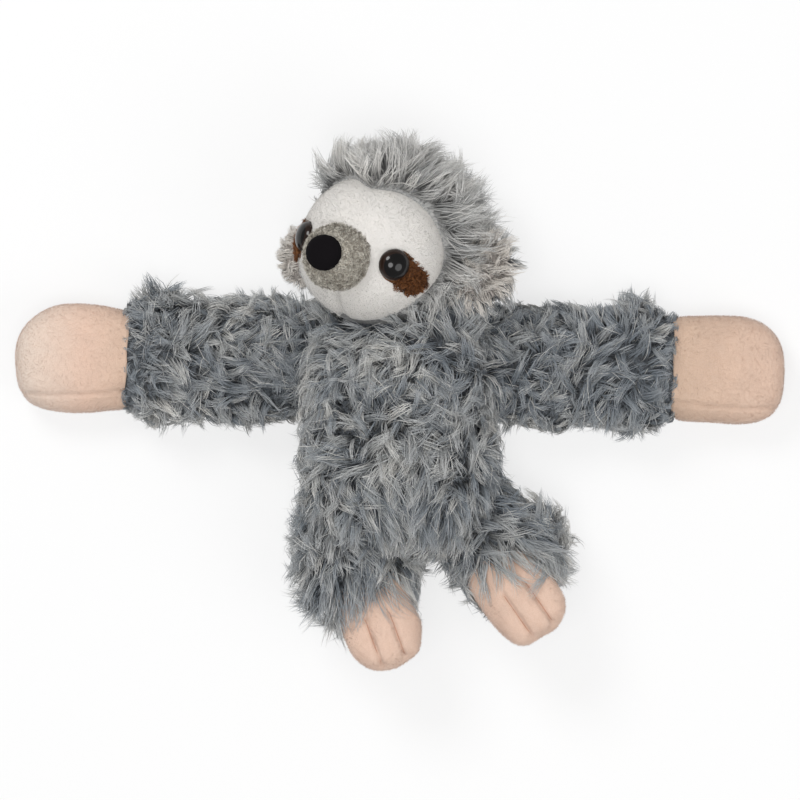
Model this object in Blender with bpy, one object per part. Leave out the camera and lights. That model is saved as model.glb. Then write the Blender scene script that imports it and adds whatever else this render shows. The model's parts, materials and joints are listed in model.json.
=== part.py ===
"""A plush sloth with a slap band in its arms, lying on its back.

Run with: blender --background --python part.py
Metres. +Z points out of the belly, +Y to the head, +X to the toy's own left hand.
The origin ends up under the middle of the whole toy, on the surface it lies on.
Each plush piece is a cover, whose wall stands for backing and dense pile, round its own stuffing.
"""

import math

import bpy
import bmesh
from mathutils import Matrix, Vector

MM = 0.001

# Cloth, stuffing and clearances
GAP = 0.3 * MM
SINK = 0.5 * MM
PILE = 4.5 * MM
NAP = 2.4 * MM
OVERRUN = 6.0 * MM
REACH = 400.0 * MM

# Torso, from the neck end to the crotch
NECK_Y = 38.0 * MM
CROTCH_Y = -58.0 * MM
TORSO_HALF_WIDTH = 34.5 * MM
TORSO_HALF_DEPTH = 27.5 * MM
TORSO_CENTRE_Z = 27.0 * MM
# (share of the length, share of the half width, share of the half depth)
TORSO_SHARES = [
    (0.00, 0.52, 0.50),
    (0.10, 0.72, 0.72),
    (0.25, 0.93, 0.91),
    (0.45, 1.00, 1.00),
    (0.65, 0.99, 0.97),
    (0.82, 0.93, 0.86),
    (0.93, 0.69, 0.63),
    (0.985, 0.30, 0.30),
]

# Arms, measured along the band line from the middle of the torso
ARM_Y = 13.7 * MM
ARM_TILT = math.radians(-1.1)
SHOULDER = 40.0 * MM
ELBOW = 73.0 * MM
WRIST = 104.0 * MM
HAND_TIP = 145.0 * MM
HAND_HALF_WIDTH = 20.4 * MM
HAND_HALF_DEPTH = 12.3 * MM
ARM_HALF_WIDTH = 22.0 * MM
ARM_HALF_DEPTH = 12.6 * MM
# (share of the way from shoulder to wrist, share of half width, share of half depth)
ARM_SHARES = [
    (-0.60, 0.96, 0.98),
    (0.00, 0.97, 0.97),
    (0.26, 1.04, 1.04),
    (0.52, 0.95, 0.95),
    (0.76, 1.02, 1.02),
    (1.00, 0.91, 0.92),
]
# (share of the hand's length, share of half width, share of half depth)
HAND_SHARES = [(0.0, 0.92, 0.92), (0.45, 1.06, 1.06), (0.75, 1.18, 1.18), (1.0, 1.3, 1.3)]
ARM_POWER = 2.5
CURL = math.radians(50.0)
FOLD_MARGIN = math.radians(1.0)

# Slap band
BAND_LEVEL = 13.5 * MM
BAND_IN_HAND = 11.0 * MM
BAND_HALF_LENGTH = WRIST + BAND_IN_HAND
STEEL_HALF_WIDTH = 12.0 * MM
STEEL_THICKNESS = 0.25 * MM
BAND_ARCH = 2.0 * MM
SLEEVE_WALL = 0.5 * MM
SLEEVE_END = 1.0 * MM

# Head
HEAD_CENTRE = Vector((-6.5 * MM, 55.5 * MM, 34.0 * MM))
HEAD_YAW = math.radians(-26.0)
HEAD_ROLL = math.radians(-18.0)
FUR_RADIUS = 30.0 * MM
FACE_STEP = 2.0 * MM
FACE_RADIUS = FUR_RADIUS - FACE_STEP
HEAD_WALL = 4.7 * MM
CAVITY_RADIUS = FUR_RADIUS - HEAD_WALL
FACE_FORWARD = 8.0 * MM
CROWN_RISE = 4.0 * MM
NECK_CLEAR_ANGLE = math.radians(50.0)
NECK_BLEND_ANGLE = math.radians(82.0)
FACE_OPENING_ANGLE = math.radians(78.0)
FACE_OPENING_TILT = math.radians(14.0)
NECK_PLUG_RADIUS = 9.0 * MM
NECK_PLUG_START_Y = 10.0 * MM

# Face
MUZZLE_DROP = math.radians(15.0)
MUZZLE_LENGTH = 12.4 * MM
MUZZLE_RADIUS = 13.2 * MM
MUZZLE_NAP = 1.8 * MM
MUZZLE_ROOT = 6.0 * MM
# (share of the length, share of the radius)
MUZZLE_SHARES = [(0.0, 1.0), (0.3, 0.95), (0.6, 0.84), (0.82, 0.67), (0.95, 0.42)]
NOSE_RADIUS = 6.5 * MM
NOSE_HALF_HEIGHT = 5.0 * MM
NOSE_SEAT = 0.6 * MM
SHANK_RADIUS = 1.6 * MM
NOSE_WASHER_RADIUS = 4.2 * MM
NOSE_WASHER_DEPTH = 4.2 * MM
WASHER_THICKNESS = 1.1 * MM
EYE_AZIMUTH = math.radians(45.0)
EYE_ELEVATION = math.radians(-7.0)
EYE_RADIUS = 6.0 * MM
EYE_HEIGHT = 4.2 * MM
EYE_LIFT = 0.9 * MM
EYE_WASHER_RADIUS = 7.5 * MM
WASHER_SEAT = 0.8 * MM
SHANK_LENGTH = 11.0 * MM
PATCH_THICKNESS = 0.9 * MM
PATCH_LENGTH = 12.5 * MM
PATCH_HALF_WIDTH = 6.0 * MM
PATCH_TIP_RADIUS = 3.6 * MM
PATCH_TURN = math.radians(-20.0)

# Ears
EAR_AZIMUTH = math.radians(105.0)
LEFT_EAR_ELEVATION = math.radians(7.0)
RIGHT_EAR_ELEVATION = math.radians(-15.0)
EAR_RISE = 7.0 * MM
EAR_OUT = FUR_RADIUS + EAR_RISE
EAR_REACH = 11.5 * MM
EAR_HALF_HEIGHT = 12.0 * MM
EAR_HALF_DEPTH = 4.6 * MM

# Legs: each starts inside the torso, and both share one size
LEG_LENGTH = 49.5 * MM
LEG_HALF_WIDTH = 20.0 * MM
LEG_HALF_DEPTH = 19.5 * MM
LEG_START_Z = 17.0 * MM
LEG_LIFT = math.radians(7.0)
LEG_START_Y = -31.0 * MM
LEG_START_X = 18.5 * MM
RIGHT_LEG_SPLAY = math.radians(6.0)
LEFT_LEG_SPLAY = math.radians(42.0)
RIGHT_HIP_FOLD = 21.0 * MM
LEFT_HIP_FOLD = 18.0 * MM
# (share of the length, share of half width, share of half depth)
LEG_SHARES = [
    (0.0, 0.58, 0.64),
    (0.25, 0.88, 0.94),
    (0.5, 1.08, 1.06),
    (0.8, 1.22, 1.14),
    (1.0, 1.32, 1.2),
]

# Feet: each starts inside its leg
FOOT_HALF_WIDTH = 14.4 * MM
FOOT_HALF_DEPTH = 9.0 * MM
FOOT_PITCH = math.radians(20.0)
# (share of the length, share of half width, share of half depth)
FOOT_SHARES = [(0.0, 0.92, 0.92), (0.5, 1.07, 1.04), (0.8, 1.2, 1.14), (1.0, 1.3, 1.2)]
RIGHT_FOOT_START = Vector((-13.0 * MM, -69.0 * MM, 29.0 * MM))
RIGHT_FOOT_TURN = math.radians(20.0)
RIGHT_FOOT_LENGTH = 34.5 * MM
RIGHT_ANKLE_FOLD = 6.0 * MM
LEFT_FOOT_START = Vector((36.0 * MM, -61.0 * MM, 29.0 * MM))
LEFT_FOOT_TURN = math.radians(35.0)
LEFT_FOOT_LENGTH = 34.5 * MM
LEFT_ANKLE_FOLD = 4.0 * MM
ANKLE_RISE = 2.0 * MM
TOE_GROOVE_DEPTH = 1.5 * MM
TOE_GROOVE_HALF_WIDTH = 1.3 * MM
TOE_GROOVE_LENGTH = 15.0 * MM

SEGMENTS = 16
BODY_POWER = 2.2
TORSO_CROWDING = 1.25
BLUNT_SHARE = 0.55
WELD = 0.005 * MM
FLAT_ANGLE = math.radians(0.5)
SMOOTH_ANGLE = math.radians(40.0)
SKIN_STEP = math.radians(2.0)


# Mesh tools


def to_object(name, shape):
    """Split into triangles first, so that nested forms keep parallel faces through every cut."""
    bmesh.ops.triangulate(shape, faces=shape.faces, quad_method="SHORT_EDGE")
    mesh = bpy.data.meshes.new(name)
    shape.to_mesh(mesh)
    shape.free()
    thing = bpy.data.objects.new(name, mesh)
    bpy.context.scene.collection.objects.link(thing)
    return thing


def loft(name, rings):
    """A closed skin over rings of points; a ring of one point is a pole."""
    shape = bmesh.new()
    loops = [[shape.verts.new(point) for point in ring] for ring in rings]
    for low, high in zip(loops, loops[1:]):
        count = max(len(low), len(high))
        for i in range(count):
            j = (i + 1) % count
            corners = [low[i % len(low)], low[j % len(low)], high[j % len(high)], high[i % len(high)]]
            shape.faces.new(list(dict.fromkeys(corners)))
    for end in (loops[0], loops[-1]):
        if len(end) > 1:
            shape.faces.new(end)
    bmesh.ops.recalc_face_normals(shape, faces=shape.faces)
    return to_object(name, shape)


def section(frame, along, rise, half_width, half_depth, power=2.0, count=SEGMENTS):
    """A ring square to the frame's X axis: an ellipse, or squarer with a higher power."""
    ring = []
    for i in range(count):
        angle = math.tau * (i + 0.5) / count
        across, up = math.cos(angle), math.sin(angle)
        across = math.copysign(abs(across) ** (2.0 / power), across)
        up = math.copysign(abs(up) ** (2.0 / power), up)
        ring.append(frame @ Vector((along, half_width * across, rise + half_depth * up)))
    return ring


def profile(shares, place):
    """A smooth curve through a table of shares, read at one place."""
    last = len(shares) - 1
    i = 0
    while i < last - 1 and place > shares[i + 1][0]:
        i += 1
    before, here, there, after = (shares[min(max(k, 0), last)] for k in (i - 1, i, i + 1, i + 2))
    step = there[0] - here[0]
    part = min(max((place - here[0]) / step, 0.0), 1.0)
    values = []
    for k in range(1, len(here)):
        slope_here = (there[k] - before[k]) / (there[0] - before[0]) * step
        slope_there = (after[k] - here[k]) / (after[0] - here[0]) * step
        swing = 2.0 * part**3 - 3.0 * part**2 + 1.0
        values.append(
            swing * here[k]
            + (1.0 - swing) * there[k]
            + (part**3 - 2.0 * part**2 + part) * slope_here
            + (part**3 - part**2) * slope_there
        )
    return values


def combine(target, tool, operation):
    """Apply one Boolean to the target and use the tool up."""
    modifier = target.modifiers.new("combine", "BOOLEAN")
    modifier.operation = operation
    modifier.solver = "EXACT"
    modifier.object = tool
    graph = bpy.context.evaluated_depsgraph_get()
    shape = bmesh.new()
    shape.from_object(target, graph)
    bmesh.ops.remove_doubles(shape, verts=shape.verts, dist=WELD)
    bmesh.ops.dissolve_degenerate(shape, edges=shape.edges, dist=WELD)
    target.modifiers.clear()
    shape.to_mesh(target.data)
    shape.free()
    bpy.data.objects.remove(tool)
    return target


def cut(target, *tools):
    for tool in tools:
        combine(target, tool, "DIFFERENCE")
    return target


def join(target, *tools):
    for tool in tools:
        combine(target, tool, "UNION")
    return target


def frame_of(origin, along, up):
    """A matrix whose X axis runs along, with Z as near to up as it can be."""
    x = along.normalized()
    y = up.cross(x).normalized()
    z = x.cross(y)
    turn = Matrix((x, y, z)).transposed().to_4x4()
    return Matrix.Translation(origin) @ turn


def rod(frame, start, end, radius, count=10):
    rings = [section(frame, along, 0.0, radius, radius, count=count) for along in (start, end)]
    return loft("rod", rings)


def half_space(point, normal):
    """Everything beyond a plane, as far as the toy reaches."""
    side = Vector((1.0, 0.0, 0.0)) if abs(normal.x) < 0.7 else Vector((0.0, 1.0, 0.0))
    return rod(frame_of(point, normal, side), 0.0, REACH, REACH, count=4)


def floor_cutter():
    return half_space(Vector((0.0, 0.0, 0.0)), Vector((0.0, 0.0, -1.0)))


# Torso


def torso_form(name, inset):
    """The torso's body; a negative inset makes it larger."""
    neck = Vector((0.0, NECK_Y, TORSO_CENTRE_Z))
    frame = frame_of(neck, Vector((0.0, -1.0, 0.0)), Vector((0.0, 0.0, 1.0)))
    length = NECK_Y - CROTCH_Y
    steps = 11
    rings = []
    for i in range(steps):
        share = 1.0 - (1.0 - i / (steps - 1)) ** TORSO_CROWDING
        place = share * TORSO_SHARES[-1][0]
        wide, deep = profile(TORSO_SHARES, place)
        rings.append(
            section(
                frame,
                inset + place * (length - 2.0 * inset),
                0.0,
                wide * TORSO_HALF_WIDTH - inset,
                deep * TORSO_HALF_DEPTH - inset,
                power=BODY_POWER,
                count=20,
            )
        )
    rings.append([frame @ Vector((length - inset, 0.0, 0.0))])
    return loft(name, rings)


def torso_with_shoulders(name, inset, overrun):
    """The torso with one bar across it, whose ends are the stubs that the arms fold on."""
    end = SHOULDER + overrun
    return join(torso_form(name, inset), arm_tube("shoulders", 1, -end, end, inset))


# Arms and band


def arm_frame(side):
    turn = ARM_TILT if side > 0 else ARM_TILT + math.pi
    return Matrix.Translation((0.0, ARM_Y, 0.0)) @ Matrix.Rotation(turn, 4, "Z")


def arm_tube(name, side, start, end, inset):
    """A stretch of arm with square ends."""
    frame = arm_frame(side)
    steps = 4
    rings = []
    for i in range(steps + 1):
        along = start + (end - start) * i / steps
        wide, deep = profile(ARM_SHARES, (abs(along) - SHOULDER) / (WRIST - SHOULDER))
        half_depth = deep * ARM_HALF_DEPTH
        rings.append(
            section(
                frame,
                along,
                half_depth - SINK,
                wide * ARM_HALF_WIDTH - inset,
                half_depth - inset,
                power=ARM_POWER,
            )
        )
    return loft(name, rings)


def hand_form(name, side, inset, tail=0.0):
    """A round mitt from the wrist to the tip; a cavity has a tail that opens it at the wrist."""
    frame = arm_frame(side)
    steps = 7
    length = HAND_TIP - WRIST
    reach = length - inset
    rings = []
    for i in range(steps):
        angle = 0.5 * math.pi * i / steps
        along = WRIST + reach * math.sin(angle)
        wide, deep = profile(HAND_SHARES, (along - WRIST) / length)
        shrink = math.cos(angle) ** BLUNT_SHARE
        rings.append(
            section(
                frame,
                along,
                HAND_HALF_DEPTH - SINK,
                (wide * HAND_HALF_WIDTH - inset) * shrink,
                (deep * HAND_HALF_DEPTH - inset) * shrink,
                power=ARM_POWER,
            )
        )
    rings.append([frame @ Vector((HAND_TIP - inset, 0.0, HAND_HALF_DEPTH - SINK))])
    if tail:
        back = frame.to_3x3() @ Vector((-tail, 0.0, 0.0))
        rings.insert(0, [point + back for point in rings[0]])
    return loft(name, rings)


def fold_cutter(side, along):
    """The slit between two arm pieces and, above the band, the V that lets them fold."""
    frame = arm_frame(side)
    half_angle = 0.5 * CURL + FOLD_MARGIN
    height = 2.0 * ARM_HALF_DEPTH * max(share[2] for share in ARM_SHARES) - BAND_LEVEL + GAP
    slit = 0.5 * GAP
    spread = slit + height * math.tan(half_angle)
    low = -OVERRUN
    fold = BAND_LEVEL - 0.5 * GAP
    top = BAND_LEVEL + height
    outline = [(-slit, low), (slit, low), (slit, fold), (spread, top), (-spread, top), (-slit, fold)]
    half_width = ARM_HALF_WIDTH + OVERRUN
    rings = [
        [frame @ Vector((along + s, across, z)) for s, z in outline]
        for across in (-half_width, half_width)
    ]
    return loft("fold", rings)


def band_strip(name, side, start, end, half_width, half_thickness):
    """A stretch of flat strip, arched across its width."""
    frame = arm_frame(side)
    steps = 6
    rings = []
    for along in (start, end):
        edge = []
        for turn, offset in ((1, half_thickness), (-1, -half_thickness)):
            for i in range(steps + 1):
                across = turn * half_width * (1.0 - 2.0 * i / steps)
                rise = BAND_ARCH * (0.5 - (across / STEEL_HALF_WIDTH) ** 2)
                edge.append(frame @ Vector((along, across, BAND_LEVEL + rise + offset)))
        rings.append(edge)
    return loft(name, rings)


def steel_strip(name, side, start, end):
    return band_strip(name, side, start, end, STEEL_HALF_WIDTH, 0.5 * STEEL_THICKNESS)


def sleeve_cavity(side, start, end):
    return band_strip("cavity", side, start, end, STEEL_HALF_WIDTH + GAP, 0.5 * STEEL_THICKNESS + GAP)


def sleeve_strip(name, side, start, end):
    grow = GAP + SLEEVE_WALL
    return band_strip(name, side, start, end, STEEL_HALF_WIDTH + grow, 0.5 * STEEL_THICKNESS + grow)


def band_slot(side, start, end):
    grow = 2.0 * GAP + SLEEVE_WALL
    return band_strip("slot", side, start, end, STEEL_HALF_WIDTH + grow, 0.5 * STEEL_THICKNESS + grow)


def fold_cutters(side, *places):
    return [fold_cutter(side, place) for place in places]


# Head


def head_axes():
    """The head's own left, up and forward directions."""
    upright = Matrix.Rotation(HEAD_ROLL, 3, "Z") @ Vector((0.0, 1.0, 0.0))
    forward = Matrix.Rotation(HEAD_YAW, 3, upright) @ Vector((0.0, 0.0, 1.0))
    left = upright.cross(forward)
    return left.normalized(), upright.normalized(), forward.normalized()


LEFT, UP, FORWARD = head_axes()


def head_direction(azimuth, elevation):
    level = math.cos(azimuth) * FORWARD + math.sin(azimuth) * LEFT
    return math.cos(elevation) * level + math.sin(elevation) * UP


def smooth_step(low, high, value):
    part = min(max((value - low) / (high - low), 0.0), 1.0)
    return part * part * (3.0 - 2.0 * part)


def head_reach(direction, radius):
    """Distance from the head's centre to its skin: round by the neck, longer at face and crown."""
    from_neck = direction.angle(Vector((0.0, -1.0, 0.0)))
    clear = smooth_step(NECK_CLEAR_ANGLE, NECK_BLEND_ANGLE, from_neck)
    forward = FACE_FORWARD * max(direction.dot(FORWARD), 0.0)
    crown = CROWN_RISE * max(direction.dot(UP), 0.0) ** 2
    return radius + clear * (forward + crown)


def head_form(name, radius):
    shape = bmesh.new()
    bmesh.ops.create_uvsphere(shape, u_segments=22, v_segments=12, radius=1.0)
    turn = frame_of(Vector((0.0, 0.0, 0.0)), FORWARD, Vector((0.0, 1.0, 0.0))).to_3x3()
    for vertex in shape.verts:
        direction = (turn @ vertex.co).normalized()
        vertex.co = HEAD_CENTRE + direction * head_reach(direction, radius)
    bmesh.ops.recalc_face_normals(shape, faces=shape.faces)
    return to_object(name, shape)


def neck_ball():
    shape = bmesh.new()
    bmesh.ops.create_uvsphere(shape, u_segments=24, v_segments=16, radius=FUR_RADIUS + 2.0 * GAP)
    bmesh.ops.translate(shape, verts=shape.verts, vec=HEAD_CENTRE)
    return to_object("ball", shape)


def face_plane():
    centre = HEAD_CENTRE + FACE_FORWARD * FORWARD
    normal = math.cos(FACE_OPENING_TILT) * FORWARD - math.sin(FACE_OPENING_TILT) * UP
    return centre + FACE_RADIUS * math.cos(FACE_OPENING_ANGLE) * normal, normal


def skin_point(direction):
    return HEAD_CENTRE + direction * head_reach(direction, FACE_RADIUS)


def skin_normal(direction):
    """The way the face's skin faces, from the slopes of two short steps along it."""
    step = SKIN_STEP
    side = direction.cross(UP).normalized()
    rise = side.cross(direction)
    slopes = [
        skin_point((direction + step * way).normalized()) - skin_point((direction - step * way).normalized())
        for way in (side, rise)
    ]
    normal = slopes[0].cross(slopes[1]).normalized()
    return normal if normal.dot(direction) > 0.0 else -normal


def face_frame(azimuth, elevation):
    """A frame on the face's skin whose X axis points out of it."""
    centre = HEAD_CENTRE + FACE_FORWARD * FORWARD
    target = centre + FACE_RADIUS * head_direction(azimuth, elevation)
    direction = (target - HEAD_CENTRE).normalized()
    return frame_of(skin_point(direction), skin_normal(direction), UP)


def muzzle_frame():
    skin = face_frame(0.0, -MUZZLE_DROP).translation
    return frame_of(skin, FORWARD, UP)


def muzzle_form(name, inset):
    frame = muzzle_frame()
    root = -MUZZLE_ROOT - abs(inset)
    rings = [section(frame, root, 0.0, MUZZLE_RADIUS - inset, MUZZLE_RADIUS - inset)]
    steps = 6
    for i in range(steps):
        place = MUZZLE_SHARES[-1][0] * math.sin(0.5 * math.pi * i / (steps - 1))
        (share,) = profile(MUZZLE_SHARES, place)
        radius = MUZZLE_RADIUS * share - inset
        rings.append(section(frame, place * (MUZZLE_LENGTH - inset), 0.0, radius, radius))
    rings.append([frame @ Vector((MUZZLE_LENGTH - inset, 0.0, 0.0))])
    return loft(name, rings)


def dome(name, frame, seat, radius, height, count=16):
    steps = 4
    rings = [section(frame, seat, 0.0, radius, radius, count=count)]
    for i in range(1, steps):
        angle = 0.5 * math.pi * i / steps
        size = radius * math.cos(angle)
        rings.append(section(frame, seat + height * math.sin(angle), 0.0, size, size, count=count))
    rings.append([frame @ Vector((seat + height, 0.0, 0.0))])
    return loft(name, rings)


def patch_outline(side):
    """A teardrop round the eye's seat that runs outward and down, as (across, up) points."""
    points = []
    steps = 9
    for i in range(steps + 1):
        angle = 0.5 * math.pi + math.pi * i / steps
        points.append((PATCH_HALF_WIDTH * math.cos(angle), PATCH_HALF_WIDTH * math.sin(angle)))
    for i in range(steps + 1):
        angle = -0.5 * math.pi + math.pi * i / steps
        points.append(
            (PATCH_LENGTH + PATCH_TIP_RADIUS * math.cos(angle), PATCH_TIP_RADIUS * math.sin(angle))
        )
    outline = []
    for out, up in points:
        across = out * math.cos(PATCH_TURN) - up * math.sin(PATCH_TURN)
        rise = out * math.sin(PATCH_TURN) + up * math.cos(PATCH_TURN)
        outline.append((side * across, rise))
    return outline


# Legs and feet


def leg_frame(side):
    splay = LEFT_LEG_SPLAY if side > 0 else RIGHT_LEG_SPLAY
    level = Vector((math.sin(splay), -math.cos(splay), 0.0))
    along = math.cos(LEG_LIFT) * level + math.sin(LEG_LIFT) * Vector((0.0, 0.0, 1.0))
    return frame_of(Vector((side * LEG_START_X, LEG_START_Y, LEG_START_Z)), along, Vector((0.0, 0.0, 1.0)))


def foot_frame(side):
    start, turn = (LEFT_FOOT_START, LEFT_FOOT_TURN) if side > 0 else (RIGHT_FOOT_START, RIGHT_FOOT_TURN)
    level = Vector((math.sin(turn), -math.cos(turn), 0.0))
    along = math.cos(FOOT_PITCH) * level + math.sin(FOOT_PITCH) * Vector((0.0, 0.0, 1.0))
    return frame_of(start, along, Vector((0.0, 0.0, 1.0)))


def limb_form(name, frame, length, half_width, half_depth, shares, inset):
    """A limb that starts flat inside its neighbour and ends round; a cavity starts further back."""
    steps = 7
    wide, deep = profile(shares, 0.0)
    tail = section(
        frame, -abs(inset), 0.0, wide * half_width - inset, deep * half_depth - inset, power=BODY_POWER
    )
    rings = [tail] if inset else []
    for i in range(steps):
        angle = 0.5 * math.pi * i / steps
        place = math.sin(angle)
        wide, deep = profile(shares, place)
        shrink = math.cos(angle) ** BLUNT_SHARE
        rings.append(
            section(
                frame,
                place * (length - inset),
                0.0,
                (wide * half_width - inset) * shrink,
                (deep * half_depth - inset) * shrink,
                power=BODY_POWER,
            )
        )
    rings.append([frame @ Vector((length - inset, 0.0, 0.0))])
    return loft(name, rings)


def leg_form(name, side, inset):
    return limb_form(
        name, leg_frame(side), LEG_LENGTH, LEG_HALF_WIDTH, LEG_HALF_DEPTH, LEG_SHARES, inset
    )


def foot_form(name, side, inset):
    length = LEFT_FOOT_LENGTH if side > 0 else RIGHT_FOOT_LENGTH
    return limb_form(
        name, foot_frame(side), length, FOOT_HALF_WIDTH, FOOT_HALF_DEPTH, FOOT_SHARES, inset
    )


def toe_cutter(side, across):
    """A wedge that presses one stitched line between two toes, over the front of the foot."""
    frame = foot_frame(side)
    length = LEFT_FOOT_LENGTH if side > 0 else RIGHT_FOOT_LENGTH
    bottom = FOOT_HALF_DEPTH - TOE_GROOVE_DEPTH
    top = FOOT_HALF_DEPTH + OVERRUN
    spread = TOE_GROOVE_HALF_WIDTH * (top - bottom) / TOE_GROOVE_DEPTH
    rings = []
    for along in (length - TOE_GROOVE_LENGTH, length + OVERRUN):
        rings.append(
            [
                frame @ Vector((along, across, bottom)),
                frame @ Vector((along, across + spread, top)),
                frame @ Vector((along, across - spread, top)),
            ]
        )
    return loft("toe", rings)


# Joints and materials


def pivot(name, place, parent):
    """An empty on a joint's axis, which carries the pieces of one body."""
    empty = bpy.data.objects.new(name, None)
    bpy.context.scene.collection.objects.link(empty)
    empty.parent = parent
    bpy.context.view_layer.update()
    offset = parent.matrix_world.inverted() if parent else Matrix.Identity(4)
    empty.location = offset @ place
    bpy.context.view_layer.update()
    return empty


def material(name, colour, roughness, metallic=0.0):
    paint = bpy.data.materials.new(name)
    paint.use_nodes = True
    shader = paint.node_tree.nodes["Principled BSDF"]
    shader.inputs["Base Color"].default_value = (*colour, 1.0)
    shader.inputs["Roughness"].default_value = roughness
    shader.inputs["Metallic"].default_value = metallic
    return paint


def finish_piece(thing, name, finish, carrier):
    """Name a piece, give it its own material and hang it on its body's pivot."""
    colour, roughness, metallic = finish
    shape = bmesh.new()
    shape.from_mesh(thing.data)
    bmesh.ops.dissolve_limit(
        shape, angle_limit=FLAT_ANGLE, use_dissolve_boundaries=False, verts=shape.verts, edges=shape.edges
    )
    shape.to_mesh(thing.data)
    shape.free()
    thing.name = name
    thing.data.name = name
    thing.data.materials.clear()
    thing.data.materials.append(material(name + "_material", colour, roughness, metallic))
    thing.data.shade_smooth()
    thing.data.set_sharp_from_angle(angle=SMOOTH_ANGLE)
    thing.parent = carrier
    thing.matrix_parent_inverse = carrier.matrix_world.inverted()
    return thing


GREY_FUR = ((0.17, 0.18, 0.19), 0.95, 0.0)
WHITE_PLUSH = ((0.68, 0.66, 0.64), 0.95, 0.0)
MUZZLE_GREY = ((0.30, 0.27, 0.23), 0.9, 0.0)
BROWN_PLUSH = ((0.10, 0.04, 0.02), 0.9, 0.0)
EAR_PINK = ((0.36, 0.31, 0.28), 0.95, 0.0)
PALE_PEACH = ((0.72, 0.50, 0.38), 0.9, 0.0)
STUFFING = ((0.80, 0.80, 0.80), 1.0, 0.0)
EYE_BLACK = ((0.01, 0.008, 0.006), 0.08, 0.0)
NOSE_BLACK = ((0.01, 0.01, 0.01), 0.7, 0.0)
WASHER_CLEAR = ((0.7, 0.7, 0.72), 0.4, 0.0)
SPRING_STEEL = ((0.45, 0.46, 0.48), 0.3, 1.0)
VINYL = ((0.75, 0.76, 0.80), 0.35, 0.0)


def build_torso(root):
    cover = torso_with_shoulders("cover", 0.0, 0.0)
    cut(cover, torso_with_shoulders("cavity", PILE, OVERRUN))
    stuffing = torso_with_shoulders("stuffing", PILE + GAP, 0.0)
    plug_frame = frame_of(
        Vector((HEAD_CENTRE.x, NECK_PLUG_START_Y, HEAD_CENTRE.z)),
        Vector((0.0, 1.0, 0.0)),
        Vector((0.0, 0.0, 1.0)),
    )
    length = HEAD_CENTRE.y - NECK_PLUG_START_Y
    plug = cut(rod(plug_frame, 0.0, length, NECK_PLUG_RADIUS, count=16), neck_ball())
    cut(stuffing, band_slot(1, -SHOULDER - OVERRUN, SHOULDER + OVERRUN))
    for piece in (cover, stuffing):
        cut(piece, rod(plug_frame, -GAP, length, NECK_PLUG_RADIUS + GAP, count=16))
        cut(piece, neck_ball(), floor_cutter())
        cut(piece, *fold_cutters(1, SHOULDER), *fold_cutters(-1, SHOULDER))
    steel = steel_strip("steel", 1, -SHOULDER, SHOULDER)
    sleeve = sleeve_strip("sleeve", 1, -SHOULDER, SHOULDER)
    cut(sleeve, sleeve_cavity(1, -SHOULDER - OVERRUN, SHOULDER + OVERRUN))
    for piece in (steel, sleeve):
        cut(piece, *fold_cutters(1, SHOULDER), *fold_cutters(-1, SHOULDER))
    finish_piece(cover, "torso_fur_cover", GREY_FUR, root)
    finish_piece(stuffing, "torso_stuffing", STUFFING, root)
    finish_piece(steel, "band_steel_centre", SPRING_STEEL, root)
    finish_piece(sleeve, "band_sleeve_centre", VINYL, root)
    neck = pivot("neck_pivot", HEAD_CENTRE, root)
    finish_piece(plug, "neck_stuffing", STUFFING, neck)
    return neck


def build_arm(side, word, root):
    frame = arm_frame(side)
    carrier = root
    stretches = (("upper_arm", SHOULDER, ELBOW), ("forearm", ELBOW, WRIST))
    for part, start, end in stretches:
        carrier = pivot(f"{word}_{part}_pivot", frame @ Vector((start, 0.0, BAND_LEVEL)), carrier)
        cover = arm_tube("cover", side, start, end, 0.0)
        cut(cover, arm_tube("cavity", side, start - OVERRUN, end + OVERRUN, PILE), floor_cutter())
        stuffing = arm_tube("stuffing", side, start, end, PILE + GAP)
        cut(stuffing, band_slot(side, start - OVERRUN, end + OVERRUN))
        steel = steel_strip("steel", side, start, end)
        sleeve = sleeve_strip("sleeve", side, start, end)
        cut(sleeve, sleeve_cavity(side, start - OVERRUN, end + OVERRUN))
        for piece in (cover, stuffing, steel, sleeve):
            cut(piece, *fold_cutters(side, start, end))
        finish_piece(cover, f"{word}_{part}_sleeve", GREY_FUR, carrier)
        finish_piece(stuffing, f"{word}_{part}_stuffing", STUFFING, carrier)
        finish_piece(steel, f"{word}_{part}_band_steel", SPRING_STEEL, carrier)
        finish_piece(sleeve, f"{word}_{part}_band_sleeve", VINYL, carrier)
    carrier = pivot(f"{word}_hand_pivot", frame @ Vector((WRIST, 0.0, BAND_LEVEL)), carrier)
    cover = hand_form("cover", side, 0.0)
    cut(cover, hand_form("cavity", side, NAP, tail=OVERRUN), floor_cutter())
    stuffing = hand_form("stuffing", side, NAP + GAP)
    end = BAND_HALF_LENGTH + GAP + SLEEVE_END
    cut(stuffing, band_slot(side, WRIST - OVERRUN, end + GAP))
    steel = steel_strip("steel", side, WRIST, BAND_HALF_LENGTH)
    sleeve = sleeve_strip("sleeve", side, WRIST, end)
    cut(sleeve, sleeve_cavity(side, WRIST - OVERRUN, BAND_HALF_LENGTH + GAP))
    for piece in (cover, stuffing, steel, sleeve):
        cut(piece, fold_cutter(side, WRIST))
    finish_piece(cover, f"{word}_hand_cover", PALE_PEACH, carrier)
    finish_piece(stuffing, f"{word}_hand_stuffing", STUFFING, carrier)
    finish_piece(steel, f"{word}_hand_band_steel", SPRING_STEEL, carrier)
    finish_piece(sleeve, f"{word}_hand_band_sleeve", VINYL, carrier)


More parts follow.
